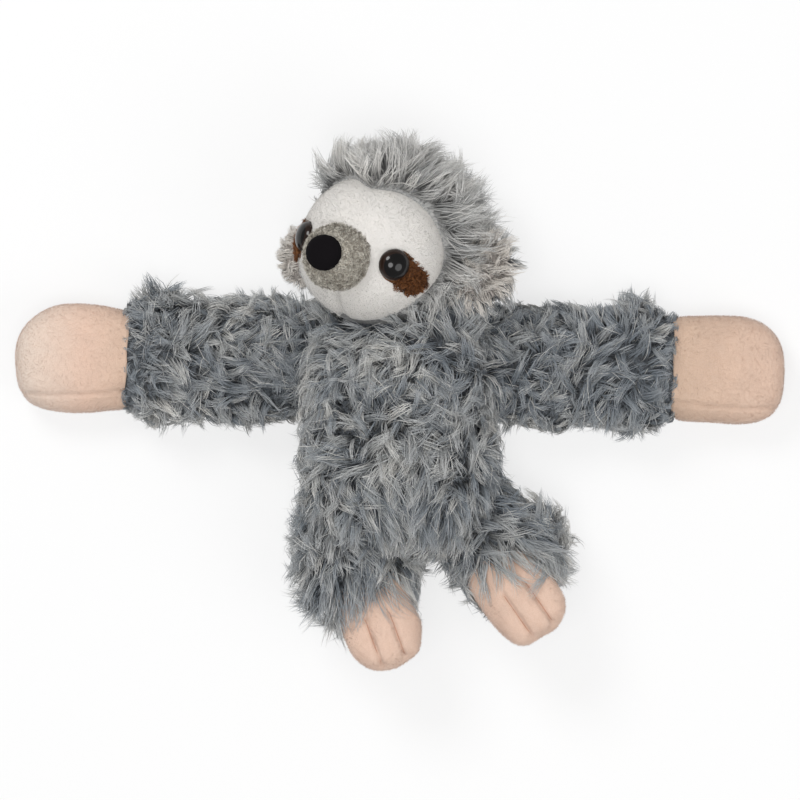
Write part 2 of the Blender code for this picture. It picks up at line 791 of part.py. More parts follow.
def build_eye(side, word, head, stuffing, panel):
    frame = face_frame(side * EYE_AZIMUTH, EYE_ELEVATION)
    seat = EYE_LIFT + PATCH_THICKNESS
    eye = dome("eye", frame, seat, EYE_RADIUS, EYE_HEIGHT)
    join(eye, rod(frame, seat - SHANK_LENGTH, seat + 0.5 * EYE_HEIGHT, SHANK_RADIUS))
    depth = FACE_RADIUS - math.sqrt(CAVITY_RADIUS**2 - EYE_WASHER_RADIUS**2) + WASHER_SEAT
    bore = SHANK_RADIUS + GAP
    washer = rod(frame, -depth - WASHER_THICKNESS, -depth, EYE_WASHER_RADIUS, count=16)
    cut(washer, rod(frame, -SHANK_LENGTH - OVERRUN, OVERRUN, bore))
    cut(panel, rod(frame, -SHANK_LENGTH - OVERRUN, OVERRUN, bore))
    cut(stuffing, rod(frame, seat - SHANK_LENGTH - GAP, OVERRUN, bore))
    pocket = EYE_WASHER_RADIUS + GAP
    back = -depth - WASHER_THICKNESS - GAP
    cut(stuffing, rod(frame, back, OVERRUN, pocket, count=16))
    cut(panel, rod(frame, back, GAP - depth, pocket, count=16))
    patch = head_form("patch", FACE_RADIUS + GAP + PATCH_THICKNESS)
    cut(patch, head_form("under", FACE_RADIUS + GAP))
    rings = [
        [frame @ Vector((along, across, up)) for across, up in patch_outline(side)]
        for along in (-OVERRUN, OVERRUN)
    ]
    combine(patch, loft("outline", rings), "INTERSECT")
    cut(patch, rod(frame, -SHANK_LENGTH, OVERRUN, bore))
    finish_piece(eye, f"{word}_eye", EYE_BLACK, head)
    finish_piece(washer, f"{word}_eye_washer", WASHER_CLEAR, head)
    finish_piece(patch, f"{word}_eye_patch", BROWN_PLUSH, head)


def build_ear(side, word, head):
    out = head_direction(side * EAR_AZIMUTH, LEFT_EAR_ELEVATION if side > 0 else RIGHT_EAR_ELEVATION)
    front = (FORWARD - FORWARD.dot(out) * out).normalized()
    frame = frame_of(HEAD_CENTRE + EAR_OUT * out, out, front)
    halves = []
    for facing in (1, -1):
        rings = [[frame @ Vector((-EAR_REACH, 0.0, 0.0))]]
        steps = 6
        for i in range(1, steps):
            angle = math.pi * i / steps
            size = math.sin(angle)
            along = -EAR_REACH * math.cos(angle)
            high, deep = EAR_HALF_HEIGHT * size, EAR_HALF_DEPTH * size
            rings.append(section(frame, along, 0.0, high, deep, count=12))
        rings.append([frame @ Vector((EAR_REACH, 0.0, 0.0))])
        half = loft("ear", rings)
        cut(half, half_space(HEAD_CENTRE + EAR_OUT * out + facing * 0.5 * GAP * front, -facing * front))
        cut(half, head_form("skull", FUR_RADIUS + GAP))
        halves.append(half)
    finish_piece(halves[0], f"{word}_ear_front", EAR_PINK, head)
    finish_piece(halves[1], f"{word}_ear_back", GREY_FUR, head)


def build_muzzle(head):
    frame = muzzle_frame()
    cover = cut(muzzle_form("cover", 0.0), muzzle_form("cavity", MUZZLE_NAP))
    filling = muzzle_form("filling", MUZZLE_NAP + GAP)
    nose_frame = frame @ Matrix.Translation((MUZZLE_LENGTH - NOSE_SEAT, 0.0, 0.0))
    steps = 6
    rings = [[nose_frame @ Vector((-NOSE_HALF_HEIGHT, 0.0, 0.0))]]
    for i in range(1, steps):
        angle = math.pi * i / steps
        size = NOSE_RADIUS * math.sin(angle)
        rings.append(section(nose_frame, -NOSE_HALF_HEIGHT * math.cos(angle), 0.0, size, size, count=14))
    rings.append([nose_frame @ Vector((NOSE_HALF_HEIGHT, 0.0, 0.0))])
    nose = cut(loft("nose", rings), muzzle_form("bed", -GAP))
    back = MUZZLE_LENGTH - NOSE_WASHER_DEPTH
    shank_end = back - 2.0 * WASHER_THICKNESS
    join(nose, rod(frame, shank_end, MUZZLE_LENGTH + 0.5 * NOSE_HALF_HEIGHT, SHANK_RADIUS))
    bore = SHANK_RADIUS + GAP
    washer = rod(frame, back - WASHER_THICKNESS, back, NOSE_WASHER_RADIUS, count=12)
    cut(washer, rod(frame, -OVERRUN, MUZZLE_LENGTH, bore))
    cut(cover, rod(frame, 0.0, MUZZLE_LENGTH + OVERRUN, bore))
    cut(filling, rod(frame, shank_end - GAP, MUZZLE_LENGTH + OVERRUN, bore))
    pocket = NOSE_WASHER_RADIUS + GAP
    cut(filling, rod(frame, back - WASHER_THICKNESS - GAP, MUZZLE_LENGTH + OVERRUN, pocket, count=12))
    for piece in (cover, filling):
        cut(piece, head_form("face", FACE_RADIUS + GAP))
    finish_piece(cover, "muzzle_cover", MUZZLE_GREY, head)
    finish_piece(filling, "muzzle_stuffing", STUFFING, head)
    finish_piece(nose, "nose", NOSE_BLACK, head)
    finish_piece(washer, "nose_washer", WASHER_CLEAR, head)


def build_head(neck):
    head = pivot("head_pivot", HEAD_CENTRE, neck)
    point, normal = face_plane()
    stuffing = head_form("stuffing", CAVITY_RADIUS - GAP)
    fur = cut(head_form("fur", FUR_RADIUS), head_form("cavity", CAVITY_RADIUS))
    cut(fur, half_space(point - 0.5 * GAP * normal, normal))
    panel = cut(head_form("panel", FACE_RADIUS), head_form("cavity", CAVITY_RADIUS))
    cut(panel, half_space(point + 0.5 * GAP * normal, -normal))
    for side, word in ((1, "left"), (-1, "right")):
        build_eye(side, word, head, stuffing, panel)
        build_ear(side, word, head)
    build_muzzle(head)
    finish_piece(stuffing, "head_stuffing", STUFFING, head)
    finish_piece(fur, "head_fur_cover", GREY_FUR, head)
    finish_piece(panel, "face_panel", WHITE_PLUSH, head)


def build_leg(side, word, root):
    frame = leg_frame(side)
    fold = LEFT_HIP_FOLD if side > 0 else RIGHT_HIP_FOLD
    hip = pivot(f"{word}_hip_pivot", frame @ Vector((fold, 0.0, LEG_HALF_DEPTH)), root)
    cover = leg_form("cover", side, 0.0)
    stuffing = leg_form("stuffing", side, PILE + GAP)
    for piece in (cover, stuffing):
        cut(piece, torso_form("seat", -GAP), floor_cutter())
    cut(cover, leg_form("cavity", side, PILE))
    frame = foot_frame(side)
    fold = LEFT_ANKLE_FOLD if side > 0 else RIGHT_ANKLE_FOLD
    ankle = pivot(f"{word}_ankle_pivot", frame @ Vector((fold, 0.0, FOOT_HALF_DEPTH + ANKLE_RISE)), hip)
    foot = foot_form("foot", side, 0.0)
    filling = foot_form("filling", side, NAP + GAP)
    for piece in (foot, filling):
        cut(piece, leg_form("seat", side, -GAP))
    cut(foot, foot_form("cavity", side, NAP))
    for across in (-FOOT_HALF_WIDTH / 3.0, FOOT_HALF_WIDTH / 3.0):
        cut(foot, toe_cutter(side, across))
    finish_piece(cover, f"{word}_leg_fur_cover", GREY_FUR, hip)
    finish_piece(stuffing, f"{word}_leg_stuffing", STUFFING, hip)
    finish_piece(foot, f"{word}_foot_cover", PALE_PEACH, ankle)
    finish_piece(filling, f"{word}_foot_stuffing", STUFFING, ankle)


def centre_on_origin(root):
    """Set the origin under the middle of the toy."""
    bpy.context.view_layer.update()
    corners = [
        thing.matrix_world @ vertex.co
        for thing in bpy.data.objects
        if thing.type == "MESH"
        for vertex in thing.data.vertices
    ]
    low = Vector(min(corner[i] for corner in corners) for i in range(3))
    high = Vector(max(corner[i] for corner in corners) for i in range(3))
    root.location -= Vector((0.5 * (low.x + high.x), 0.5 * (low.y + high.y), low.z))


def main():
    for thing in list(bpy.data.objects):
        bpy.data.objects.remove(thing)
    root = pivot("sloth", Vector((0.0, 0.0, 0.0)), None)
    neck = build_torso(root)
    build_head(neck)
    for side, word in ((1, "left"), (-1, "right")):
        build_arm(side, word, root)
        build_leg(side, word, root)
    centre_on_origin(root)


main()
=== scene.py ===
"""The looks of the plush sloth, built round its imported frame.

Metres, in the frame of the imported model. Lengths marked MM are millimetres.
Every plush part is a closed skin with fibres of real geometry grown on it.
"""

import json
from math import cos, pi, radians, sin, sqrt, tau
from types import SimpleNamespace

import bpy
import numpy as np
from mathutils import Matrix, Vector
from mathutils.kdtree import KDTree


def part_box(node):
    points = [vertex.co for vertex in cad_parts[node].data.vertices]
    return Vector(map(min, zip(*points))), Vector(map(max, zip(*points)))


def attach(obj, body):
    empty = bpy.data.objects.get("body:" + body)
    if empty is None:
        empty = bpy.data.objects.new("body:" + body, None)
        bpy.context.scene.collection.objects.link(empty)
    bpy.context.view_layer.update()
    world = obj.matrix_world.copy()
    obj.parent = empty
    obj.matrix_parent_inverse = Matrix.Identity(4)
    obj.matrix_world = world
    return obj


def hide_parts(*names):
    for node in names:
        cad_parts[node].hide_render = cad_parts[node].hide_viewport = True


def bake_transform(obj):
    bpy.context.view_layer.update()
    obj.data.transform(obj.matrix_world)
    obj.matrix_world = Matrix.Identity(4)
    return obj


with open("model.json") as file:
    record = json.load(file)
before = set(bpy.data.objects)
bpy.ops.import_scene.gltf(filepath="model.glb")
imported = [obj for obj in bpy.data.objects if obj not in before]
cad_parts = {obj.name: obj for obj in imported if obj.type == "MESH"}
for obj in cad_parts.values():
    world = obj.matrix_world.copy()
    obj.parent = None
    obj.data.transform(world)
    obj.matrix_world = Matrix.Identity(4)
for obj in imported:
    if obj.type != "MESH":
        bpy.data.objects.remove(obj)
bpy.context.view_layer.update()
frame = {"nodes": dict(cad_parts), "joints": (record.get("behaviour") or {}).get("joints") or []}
JOINTS = {joint["name"]: joint for joint in frame["joints"]}

MM = 0.001
UPRIGHT = np.array([0.0, 0.0, 1.0])
DOWN = np.array([0.0, -1.0, 0.0])
SIDES = ((1, "left"), (-1, "right"))

# The head's joint gives the shift from the part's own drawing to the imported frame
HEAD_CENTRE = np.array(JOINTS["head_nod"]["pos_m"])
DRAWN_HEAD_Y = 55.5 * MM
SHIFT = np.array([0.0, HEAD_CENTRE[1] - DRAWN_HEAD_Y, 0.0])

# Torso. Tables of shares hold (place along, width, depth)
NECK_Y = 38.0 * MM
CROTCH_Y = -58.0 * MM
TORSO_LENGTH = NECK_Y - CROTCH_Y
TORSO_HALF_WIDTH = 34.5 * MM
TORSO_HALF_DEPTH = 27.5 * MM
TORSO_CENTRE_Z = 27.0 * MM
BELLY_TOP = -8.0 * MM
TORSO_SHARES = [
    (0.00, 0.52, 0.50), (0.10, 0.72, 0.72), (0.25, 0.93, 0.91), (0.45, 1.00, 1.00),
    (0.65, 0.99, 0.97), (0.82, 0.93, 0.86), (0.93, 0.69, 0.63), (0.985, 0.30, 0.30),
]
TORSO_END = TORSO_SHARES[-1][0]
TORSO_CLOSE = 0.94
BODY_POWER = 2.2
COAT_INSET = 1.5 * MM

# Arms
ARM_Y = 13.7 * MM
ARM_TILT = radians(-1.1)
SHOULDER = 40.0 * MM
ELBOW = 73.0 * MM
WRIST = 104.0 * MM
HAND_TIP = 145.0 * MM
HAND_LENGTH = HAND_TIP - WRIST
HAND_HALF_WIDTH = 20.4 * MM
HAND_HALF_DEPTH = 12.3 * MM
ARM_HALF_WIDTH = 22.0 * MM
ARM_HALF_DEPTH = 12.6 * MM
ARM_SHARES = [
    (-0.60, 0.96, 0.98), (0.00, 0.97, 0.97), (0.26, 1.04, 1.04),
    (0.52, 0.95, 0.95), (0.76, 1.02, 1.02), (1.00, 0.91, 0.92),
]
HAND_SHARES = [(0.0, 0.92, 0.92), (0.45, 1.06, 1.06), (0.75, 1.18, 1.18), (1.0, 1.3, 1.3)]
ARM_POWER = 2.5
SINK = 0.5 * MM
UPPER_ROUND = {1: 3.0 * MM, -1: 5.5 * MM}
# Fur length at an arm's upper and lower edge, from shoulder (0) to wrist (1): (along, upper, lower)
EDGE_SHARES = {
    1: [(-0.3, 0.42, 0.54), (0.24, 0.42, 0.54), (0.52, 0.44, 0.58), (0.80, 0.90, 0.74), (1.0, 0.95, 0.78)],
    -1: [(-0.3, 0.72, 0.56), (0.24, 0.72, 0.58), (0.52, 0.78, 0.66), (0.80, 1.15, 0.82), (1.0, 1.1, 0.85)],
}
# Painted shade over each arm's fur, deeper on the toy's left arm
ARM_PAINTED_SHADE = {1: 0.31, -1: 0.16}
# Painted light on the velour of the toy's right hand, painted shade on its left hand's
HAND_LIGHT = {1: -0.2, -1: 0.2}
# Painted light and shade on the mitts' cloth as (tone at the cuff, fall toward the tip): darkest at the cuff
# and on the toy's left mitt, palest at the tip of the toy's right mitt. FOOT_TONE at 0.5 leaves the feet
# without it.
HAND_PAINTED_SHADING = {1: (1.02, 0.45), -1: (0.85, 0.92)}
FOOT_TONE = 0.5

# Head
HEAD_YAW = radians(-26.0)
HEAD_ROLL = radians(-18.0)
FUR_RADIUS = 30.0 * MM
HEAD_INSET = 1.2 * MM
FACE_RADIUS = 28.0 * MM
FACE_FORWARD = 8.0 * MM
CROWN_RISE = 4.0 * MM
NECK_BALD = radians(42.0)
NECK_CLEAR_ANGLE = radians(50.0)
NECK_BLEND_ANGLE = radians(82.0)
# The seam of the white face, from chin (-90) past the ear (0) to the brow (90): (round, out) in degrees
SEAM_SHARES = [
    (-90.0, 73.0), (-78.0, 76.0), (-60.0, 77.0), (-42.0, 80.0), (-24.0, 87.0), (-5.0, 95.0),
    (10.0, 96.0), (24.0, 89.0), (46.0, 76.0), (67.0, 61.0), (80.0, 51.0), (90.0, 47.0),
]
# Length of the head's fur round the face, from the crown (0) toward the toy's left: (degrees, share)
FUR_SHARES = [
    (-180.0, 0.80), (-60.0, 0.84), (-35.0, 0.83), (-18.0, 0.64), (8.0, 0.98),
    (31.0, 0.99), (60.0, 1.10), (90.0, 1.02), (120.0, 0.86), (180.0, 0.80),
]

# Face: soft rises and hollows of its skin as (azimuth, elevation, width) in radians
CHEEK = (0.62, -0.62, 0.42)
BROW = (0.0, 0.62, 0.5)
MUZZLE_DROP = radians(15.0)
MUZZLE_LENGTH = 12.4 * MM
MUZZLE_RADIUS = 13.2 * MM
MUZZLE_SHARES = [(0.0, 1.0), (0.3, 0.95), (0.6, 0.84), (0.82, 0.67), (0.95, 0.42)]
NOSE_RADIUS = 6.9 * MM
NOSE_HALF_HEIGHT = 5.0 * MM
NOSE_SEAT = 0.6 * MM
EYE_AZIMUTH = radians(45.0)
EYE_ELEVATION = radians(-7.0)
EYE_SOCKET = (EYE_AZIMUTH, EYE_ELEVATION, 0.26)
EYE_RADIUS = 6.0 * MM
EYE_HEIGHT = 4.2 * MM
EYE_LIFT = {1: 0.9 * MM, -1: -0.4 * MM}
PUPIL_SHARE = 0.80
PATCH_THICKNESS = 0.9 * MM
PATCH_LENGTH = 14.4 * MM
PATCH_HALF_WIDTH = 6.3 * MM
PATCH_START = 1.3 * MM
PATCH_TIP_RADIUS = 5.9 * MM
PATCH_TURN = radians(-20.0)

# Ears
EAR_AZIMUTH = radians(105.0)
EAR_ELEVATION = {1: radians(7.0), -1: radians(-15.0)}
EAR_OUT = 37.0 * MM
EAR_REACH = 11.5 * MM
EAR_HALF_HEIGHT = {1: 12.0 * MM, -1: 10.5 * MM}
EAR_HALF_DEPTH = 4.6 * MM
EAR_FUR = {1: 7.6 * MM, -1: 3.2 * MM}
EAR_GATHER = {1: 0.7, -1: 0.3}

# Legs and feet
LEG_LENGTH = 49.5 * MM
LEG_HALF_WIDTH = 20.0 * MM
LEG_HALF_DEPTH = 19.5 * MM
LEG_START = (18.5 * MM, -31.0 * MM, 17.0 * MM)
LEG_LIFT = radians(7.0)
LEG_SPLAY = {1: radians(42.0), -1: radians(6.0)}
HIP_FOLD = {1: 18.0 * MM, -1: 21.0 * MM}
HIP_ZONE = 12.0 * MM
LEG_SHARES = [(0.0, 0.58, 0.64), (0.25, 0.88, 0.94), (0.5, 1.08, 1.06), (0.8, 1.22, 1.14), (1.0, 1.32, 1.2)]
FOOT_HALF_WIDTH = 14.4 * MM
FOOT_HALF_DEPTH = 9.0 * MM
FOOT_PITCH = radians(20.0)
FOOT_SHARES = [(0.0, 0.92, 0.92), (0.5, 1.07, 1.04), (0.8, 1.2, 1.14), (1.0, 1.3, 1.2)]
FOOT_START = {1: (36.0 * MM, -61.0 * MM, 29.0 * MM), -1: (-13.0 * MM, -69.0 * MM, 29.0 * MM)}
FOOT_TURN = {1: radians(35.0), -1: radians(20.0)}
FOOT_LENGTH = 34.5 * MM
TOE_LINES = ((-1.0, "inner"), (1.0, "outer"))
BLUNT_SHARE = 0.55
THREAD_SINK = 1.7 * MM
THREAD_RADIUS = 0.22 * MM

# Fur
FLOOR_CLEARANCE = 0.3 * MM
PRESS_START = 3.5 * MM
CROWN_SOFT_TOP = 102.0 * MM
CROWN_SOFT_ROOM = 8.0 * MM
COLUMNS = 64
FLAT_LEAN = 86.0
SHADE_WAVE = 26.0 * MM
SWIRL_WAVE = 34.0 * MM
STAND = 0.34
# How far the fibres of one pile differ in length, pull and thickness, and its locks in length
LENGTH_SPREAD = (0.75, 1.15)
PULL_SPREAD = (0.7, 1.15)
WIDTH_SPREAD = (0.7, 1.25)
LOCK_SPREAD = (0.8, 1.2)
SILVER_TINTS = (0.7, 0.95)


# Vectors and curves


def unit(vectors):
    vectors = np.asarray(vectors, float)
    return vectors / np.maximum(np.linalg.norm(vectors, axis=-1, keepdims=True), 1e-12)


def smooth_step(low, high, value):
    part = np.clip((value - low) / (high - low), 0.0, 1.0)
    return part * part * (3.0 - 2.0 * part)


def hump(offset, width):
    """1 where the offset is zero, fading out on both sides of it."""
    return np.exp(-((offset / width) ** 2))


def angle_from(ways, way):
    """The angles between unit directions and one direction."""
    return np.arccos(np.clip(ways @ way, -1.0, 1.0))


def dot(a, b):
    return np.einsum("ij,ij->i", a, b)


def profile(shares, places):
    """Smooth curves through the columns of a table, read at many places."""
    table = np.array(shares)
    x, y = table[:, 0], table[:, 1:]
    places = np.atleast_1d(np.asarray(places, float))
    i = np.clip(np.searchsorted(x, places, side="right") - 1, 0, len(x) - 2)
    before, after = np.maximum(i - 1, 0), np.minimum(i + 2, len(x) - 1)
    step = (x[i + 1] - x[i])[:, None]
    part = np.clip((places - x[i]) / (x[i + 1] - x[i]), 0.0, 1.0)[:, None]
    slope_here = (y[i + 1] - y[before]) / (x[i + 1] - x[before])[:, None] * step
    slope_there = (y[after] - y[i]) / (x[after] - x[i])[:, None] * step
    swing = 2.0 * part**3 - 3.0 * part**2 + 1.0
    level = swing * y[i] + (1.0 - swing) * y[i + 1]
    found = level + (part**3 - 2.0 * part**2 + part) * slope_here + (part**3 - part**2) * slope_there
    return found.T


def waves(points, wavelength, seed, count=9):
    """Smooth noise of about -1 to 1, the same on every run: plane waves in random directions."""
    rng = np.random.default_rng(seed)
    total = np.zeros(len(points))
    for _ in range(count):
        way = unit(rng.normal(size=3)) * tau / (wavelength * rng.uniform(0.7, 1.5))
        total += np.sin(points @ way + rng.uniform(0.0, tau))
    return total / sqrt(count)


def swirls(points, seed, strength=1.1):
    """A comb that turns slowly from place to place, as brushed fur does."""
    return strength * np.stack([waves(points, SWIRL_WAVE, seed + axis) for axis in range(3)], axis=1)


class Place:
    """A local frame: X along, Y across, Z as near to up as it can be."""

    def __init__(self, origin, along, up=UPRIGHT):
        self.origin = np.array(origin, float)
        x = unit(along)
        y = unit(np.cross(up, x))
        self.axes = np.array([x, y, np.cross(x, y)])

    def out(self, local):
        return self.origin + np.asarray(local, float) @ self.axes

    def inside(self, points):
        return (points - self.origin) @ self.axes.T


def section(place, along, rise, half_width, half_depth, power=2.0, count=48):
    """A ring square to the frame's X axis: an ellipse, or squarer with a higher power."""
    angle = tau * (np.arange(count) + 0.5) / count
    across, up = (np.sign(c) * np.abs(c) ** (2.0 / power) for c in (np.cos(angle), np.sin(angle)))
    local = np.stack([np.full(count, along), half_width * across, rise + half_depth * up], axis=1)
    return place.out(local)


def stack(place, rows, power=2.0, count=48):
    """Rings from rows of (along, rise, half width, half depth)."""
    return [section(place, *row, power, count) for row in rows]


# Meshes


def paint(thing, material):
    thing.data.materials.clear()
    thing.data.materials.append(material)


def add_object(name, data, material=None):
    thing = bpy.data.objects.new(name, data)
    bpy.context.scene.collection.objects.link(thing)
    if material:
        paint(thing, material)
    return thing


def mesh_object(name, verts, faces, material):
    mesh = bpy.data.meshes.new(name)
    mesh.from_pydata([tuple(v) for v in verts], [], faces)
    mesh.update()
    mesh.shade_smooth()
    return add_object(name, mesh, material)


def loft(name, rings, material):
    """A closed skin over rings of points; a first or last ring of one point is a pole."""
    rings = [np.atleast_2d(ring) for ring in rings]
    if len(rings[0]) > 1:
        rings.insert(0, rings[0].mean(axis=0, keepdims=True))
    if len(rings[-1]) > 1:
        rings.append(rings[-1].mean(axis=0, keepdims=True))
    faces, start = [], 0
    for ring, above in zip(rings, rings[1:]):
        low, high = len(ring), len(above)
        count, top = max(low, high), start + low
        for i in range(count):
            j = (i + 1) % count
            corners = [start + i % low, start + j % low, top + j % high, top + i % high]
            faces.append(list(dict.fromkeys(corners)))
        start = top
    thing = mesh_object(name, np.concatenate(rings), faces, material)
    if signed_volume(thing) < 0.0:
        thing.data.flip_normals()
    return thing


def corners_of(thing):
    """A mesh as arrays: places, normals and triangles."""
    mesh = thing.data
    mesh.calc_loop_triangles()
    verts = np.empty(len(mesh.vertices) * 3, np.float32)
    normals = np.empty(len(mesh.vertices) * 3, np.float32)
    tris = np.empty(len(mesh.loop_triangles) * 3, np.int32)
    mesh.vertices.foreach_get("co", verts)
    mesh.vertices.foreach_get("normal", normals)
    mesh.loop_triangles.foreach_get("vertices", tris)
    return verts.reshape(-1, 3).astype(float), normals.reshape(-1, 3).astype(float), tris.reshape(-1, 3)


def signed_volume(thing):
    verts, _, tris = corners_of(thing)
    a, b, c = (verts[tris[:, k]] for k in range(3))
    return float(dot(a, np.cross(b, c)).sum() / 6.0)


def reshape(thing, change):
    """Move each point of a mesh by what change(places, normals) returns, and keep it off the floor."""
    verts, normals, _ = corners_of(thing)
    verts = verts + change(verts, normals)
    verts[:, 2] = np.maximum(verts[:, 2], FLOOR_CLEARANCE)
    thing.data.vertices.foreach_set("co", verts.astype(np.float32).ravel())
    thing.data.update()


def lumps(size, wavelength, seed):
    """A change that makes a stuffed surface slightly uneven."""
    return lambda verts, normals: normals * (size * waves(verts, wavelength, seed))[:, None]


def point_values(mesh, name, values):
    """Keep a number for each point of a mesh, for its material to read."""
    mesh.attributes.new(name, "FLOAT", "POINT").data.foreach_set("value", np.asarray(values, np.float32))


# Materials


def new_material(name, sockets):
    """A material, its nodes and its shader, with these values on the shader's sockets."""
    material = bpy.data.materials.new(name)
    material.use_nodes = True
    shader = material.node_tree.nodes["Principled BSDF"]
    for key, value in sockets.items():
        shader.inputs[key].default_value = value
    return material, material.node_tree, shader


def node(tree, kind, output, inputs=None, **settings):
    """A new node with its inputs linked or set. It gives the output of that name or number."""
    made = tree.nodes.new(f"ShaderNode{kind}")
    for key, value in settings.items():
        setattr(made, key, value)
    for key, value in (inputs or {}).items():
        if isinstance(value, bpy.types.NodeSocket):
            tree.links.new(value, made.inputs[key])
        else:
            made.inputs[key].default_value = value
    return made.outputs[output]


def ramp(tree, factor, stops):
    """A colour ramp from rows of (place, red, green, blue)."""
    colour = node(tree, "ValToRGB", "Color", {"Fac": factor})
    elements = colour.node.color_ramp.elements
    while len(elements) < len(stops):
        elements.new(0.5)
    for element, (place, *stop) in zip(elements, stops):
        element.position = place
        element.color = (*stop, 1.0)
    return colour


def mix(tree, factor, a, b, blend="MIX"):
    """Two colours mixed: each is a socket or three numbers."""
    a, b = (value if isinstance(value, bpy.types.NodeSocket) else (*value, 1.0) for value in (a, b))
    return node(tree, "Mix", 2, {"Factor": factor, 6: a, 7: b}, data_type="RGBA", blend_type=blend)


def attribute(tree, name):
    return node(tree, "Attribute", "Fac", attribute_name=name)


def noise(tree, coordinate, scale, detail):
    return node(tree, "TexNoise", "Fac", {"Vector": coordinate, "Scale": scale, "Detail": detail})


def spread(tree, value, low, high):
    """A value stretched so that low gives 0 and high gives 1."""
    return node(tree, "MapRange", "Result", {"Value": value, "From Min": low, "From Max": high})


def finish_shader(tree, shader, colour, height=None, strength=0.0, distance=0.0):
    tree.links.new(colour, shader.inputs["Base Color"])
    if height:
        inputs = {"Height": height, "Strength": strength, "Distance": distance}
        tree.links.new(node(tree, "Bump", "Normal", inputs), shader.inputs["Normal"])


def fibre_material(name, dark, light, sheen=0.15):
    """Fibres: each table of colours runs from root to tip, and tint moves between the two."""
    sockets = {"Roughness": 0.55, "Specular IOR Level": 0.35, "Sheen Weight": sheen, "Sheen Roughness": 0.5}
    material, tree, shader = new_material(name, sockets)
    along, tint = attribute(tree, "fibre_along"), attribute(tree, "fibre_tint")
    finish_shader(tree, shader, mix(tree, tint, ramp(tree, along, dark), ramp(tree, along, light)))
    return material


def cloth_material(name, dark, light, grain, bump=0.3, sheen=0.3, rib=None, painted_shading=False):
    """Short plush or backing cloth: fine mottling, with faint ribs where the cloth shows them.

    Cloth with painted light and shade reads the attribute tone, from 0 where it is palest to 1 where it is
    deepest.
    """
    sockets = {"Roughness": 0.9, "Specular IOR Level": 0.2, "Sheen Weight": sheen, "Sheen Roughness": 0.4}
    material, tree, shader = new_material(name, sockets)
    coordinate = node(tree, "TexCoord", "Object")
    height = noise(tree, coordinate, 1.0 / grain, 4.0)
    broad = noise(tree, coordinate, 0.06 / grain, 2.0)
    colour = mix(tree, spread(tree, height, 0.32, 0.68), dark, light)
    if rib:
        inputs = {"Vector": coordinate, "Scale": 1.0 / rib, "Distortion": 3.0, "Detail": 2.0}
        inputs["Detail Scale"] = 1.5
        lines = node(tree, "TexWave", "Fac", inputs, wave_type="BANDS", bands_direction="X")
        shade = mix(tree, lines, (0.93, 0.93, 0.93), (1.03, 1.03, 1.03))
        colour = mix(tree, 1.0, colour, shade, "MULTIPLY")
        height = node(tree, "Math", "Value", {0: height, 1: lines}, operation="ADD")
    colour = mix(tree, 1.0, colour, mix(tree, broad, (0.92, 0.92, 0.92), (1.08, 1.06, 1.04)), "MULTIPLY")
    # Painted light and shade: paler where tone is low, darker where it is high
    if painted_shading:
        tone = attribute(tree, "tone")
        pale = mix(tree, spread(tree, tone, 0.0, 0.5), (1.04, 1.20, 1.29), (1.0, 1.0, 1.0))
        both = mix(tree, spread(tree, tone, 0.5, 1.0), pale, (0.84, 0.84, 0.80))
        colour = mix(tree, 1.0, colour, both, "MULTIPLY")
    finish_shader(tree, shader, colour, height, bump, 0.4 * MM)
    return material


def hard_material(name, colour, roughness, metallic=0.0, coat=0.0, grain=0.0, clear=0.0, gloss=0.5):
    """Plastic, vinyl or metal with a faint unevenness in its colour and, with grain, its surface."""
    sockets = {"Roughness": roughness, "Specular IOR Level": gloss, "Metallic": metallic}
    sockets |= {"Coat Weight": coat, "Coat Roughness": 0.03, "Transmission Weight": clear}
    material, tree, shader = new_material(name, sockets)
    cloud = noise(tree, node(tree, "TexCoord", "Object"), 900.0, 3.0)
    shade = mix(tree, cloud, [0.92 * c for c in colour], colour)
    finish_shader(tree, shader, shade, cloud if grain else None, grain, 0.1 * MM)
    return material


GREY_FIBRE = fibre_material(
    "grey_fibre",
    [
        (0.0, 0.0616, 0.0717, 0.0829), (0.4, 0.19, 0.218, 0.246),
        (0.8, 0.325, 0.353, 0.381), (1.0, 0.47, 0.493, 0.515),
    ],
    [
        (0.0, 0.168, 0.17, 0.168), (0.35, 0.448, 0.442, 0.426),
        (0.75, 0.739, 0.722, 0.683), (1.0, 0.9, 0.9, 0.874),
    ],
)
HEAD_FIBRE = fibre_material(
    "head_fibre",
    [
        (0.0, 0.19, 0.195, 0.198), (0.4, 0.335, 0.345, 0.348),
        (0.8, 0.46, 0.464, 0.462), (1.0, 0.582, 0.582, 0.571),
    ],
    [
        (0.0, 0.34, 0.335, 0.325), (0.35, 0.60, 0.588, 0.565),
        (0.75, 0.829, 0.806, 0.767), (1.0, 0.9, 0.9, 0.885),
    ],
)
EAR_FIBRE = fibre_material(
    "ear_fibre",
    [(0.0, 0.39, 0.36, 0.33), (0.5, 0.59, 0.55, 0.51), (1.0, 0.73, 0.69, 0.64)],
    [(0.0, 0.50, 0.463, 0.427), (0.5, 0.81, 0.76, 0.70), (1.0, 0.90, 0.875, 0.83)],
)
WHITE_FIBRE = fibre_material(
    "white_fibre",
    [(0.0, 0.675, 0.657, 0.632), (1.0, 0.71, 0.693, 0.668)],
    [(0.0, 0.70, 0.683, 0.657), (1.0, 0.745, 0.727, 0.70)],
)
MUZZLE_FIBRE = fibre_material(
    "muzzle_fibre",
    [(0.0, 0.20, 0.175, 0.142), (1.0, 0.385, 0.35, 0.292)],
    [(0.0, 0.455, 0.423, 0.366), (1.0, 0.84, 0.80, 0.715)],
)
BROWN_FIBRE = fibre_material(
    "brown_fibre",
    [(0.0, 0.046, 0.0155, 0.0054), (1.0, 0.145, 0.052, 0.016)],
    [(0.0, 0.118, 0.045, 0.0142), (1.0, 0.335, 0.138, 0.045)],
    sheen=0.0,
)
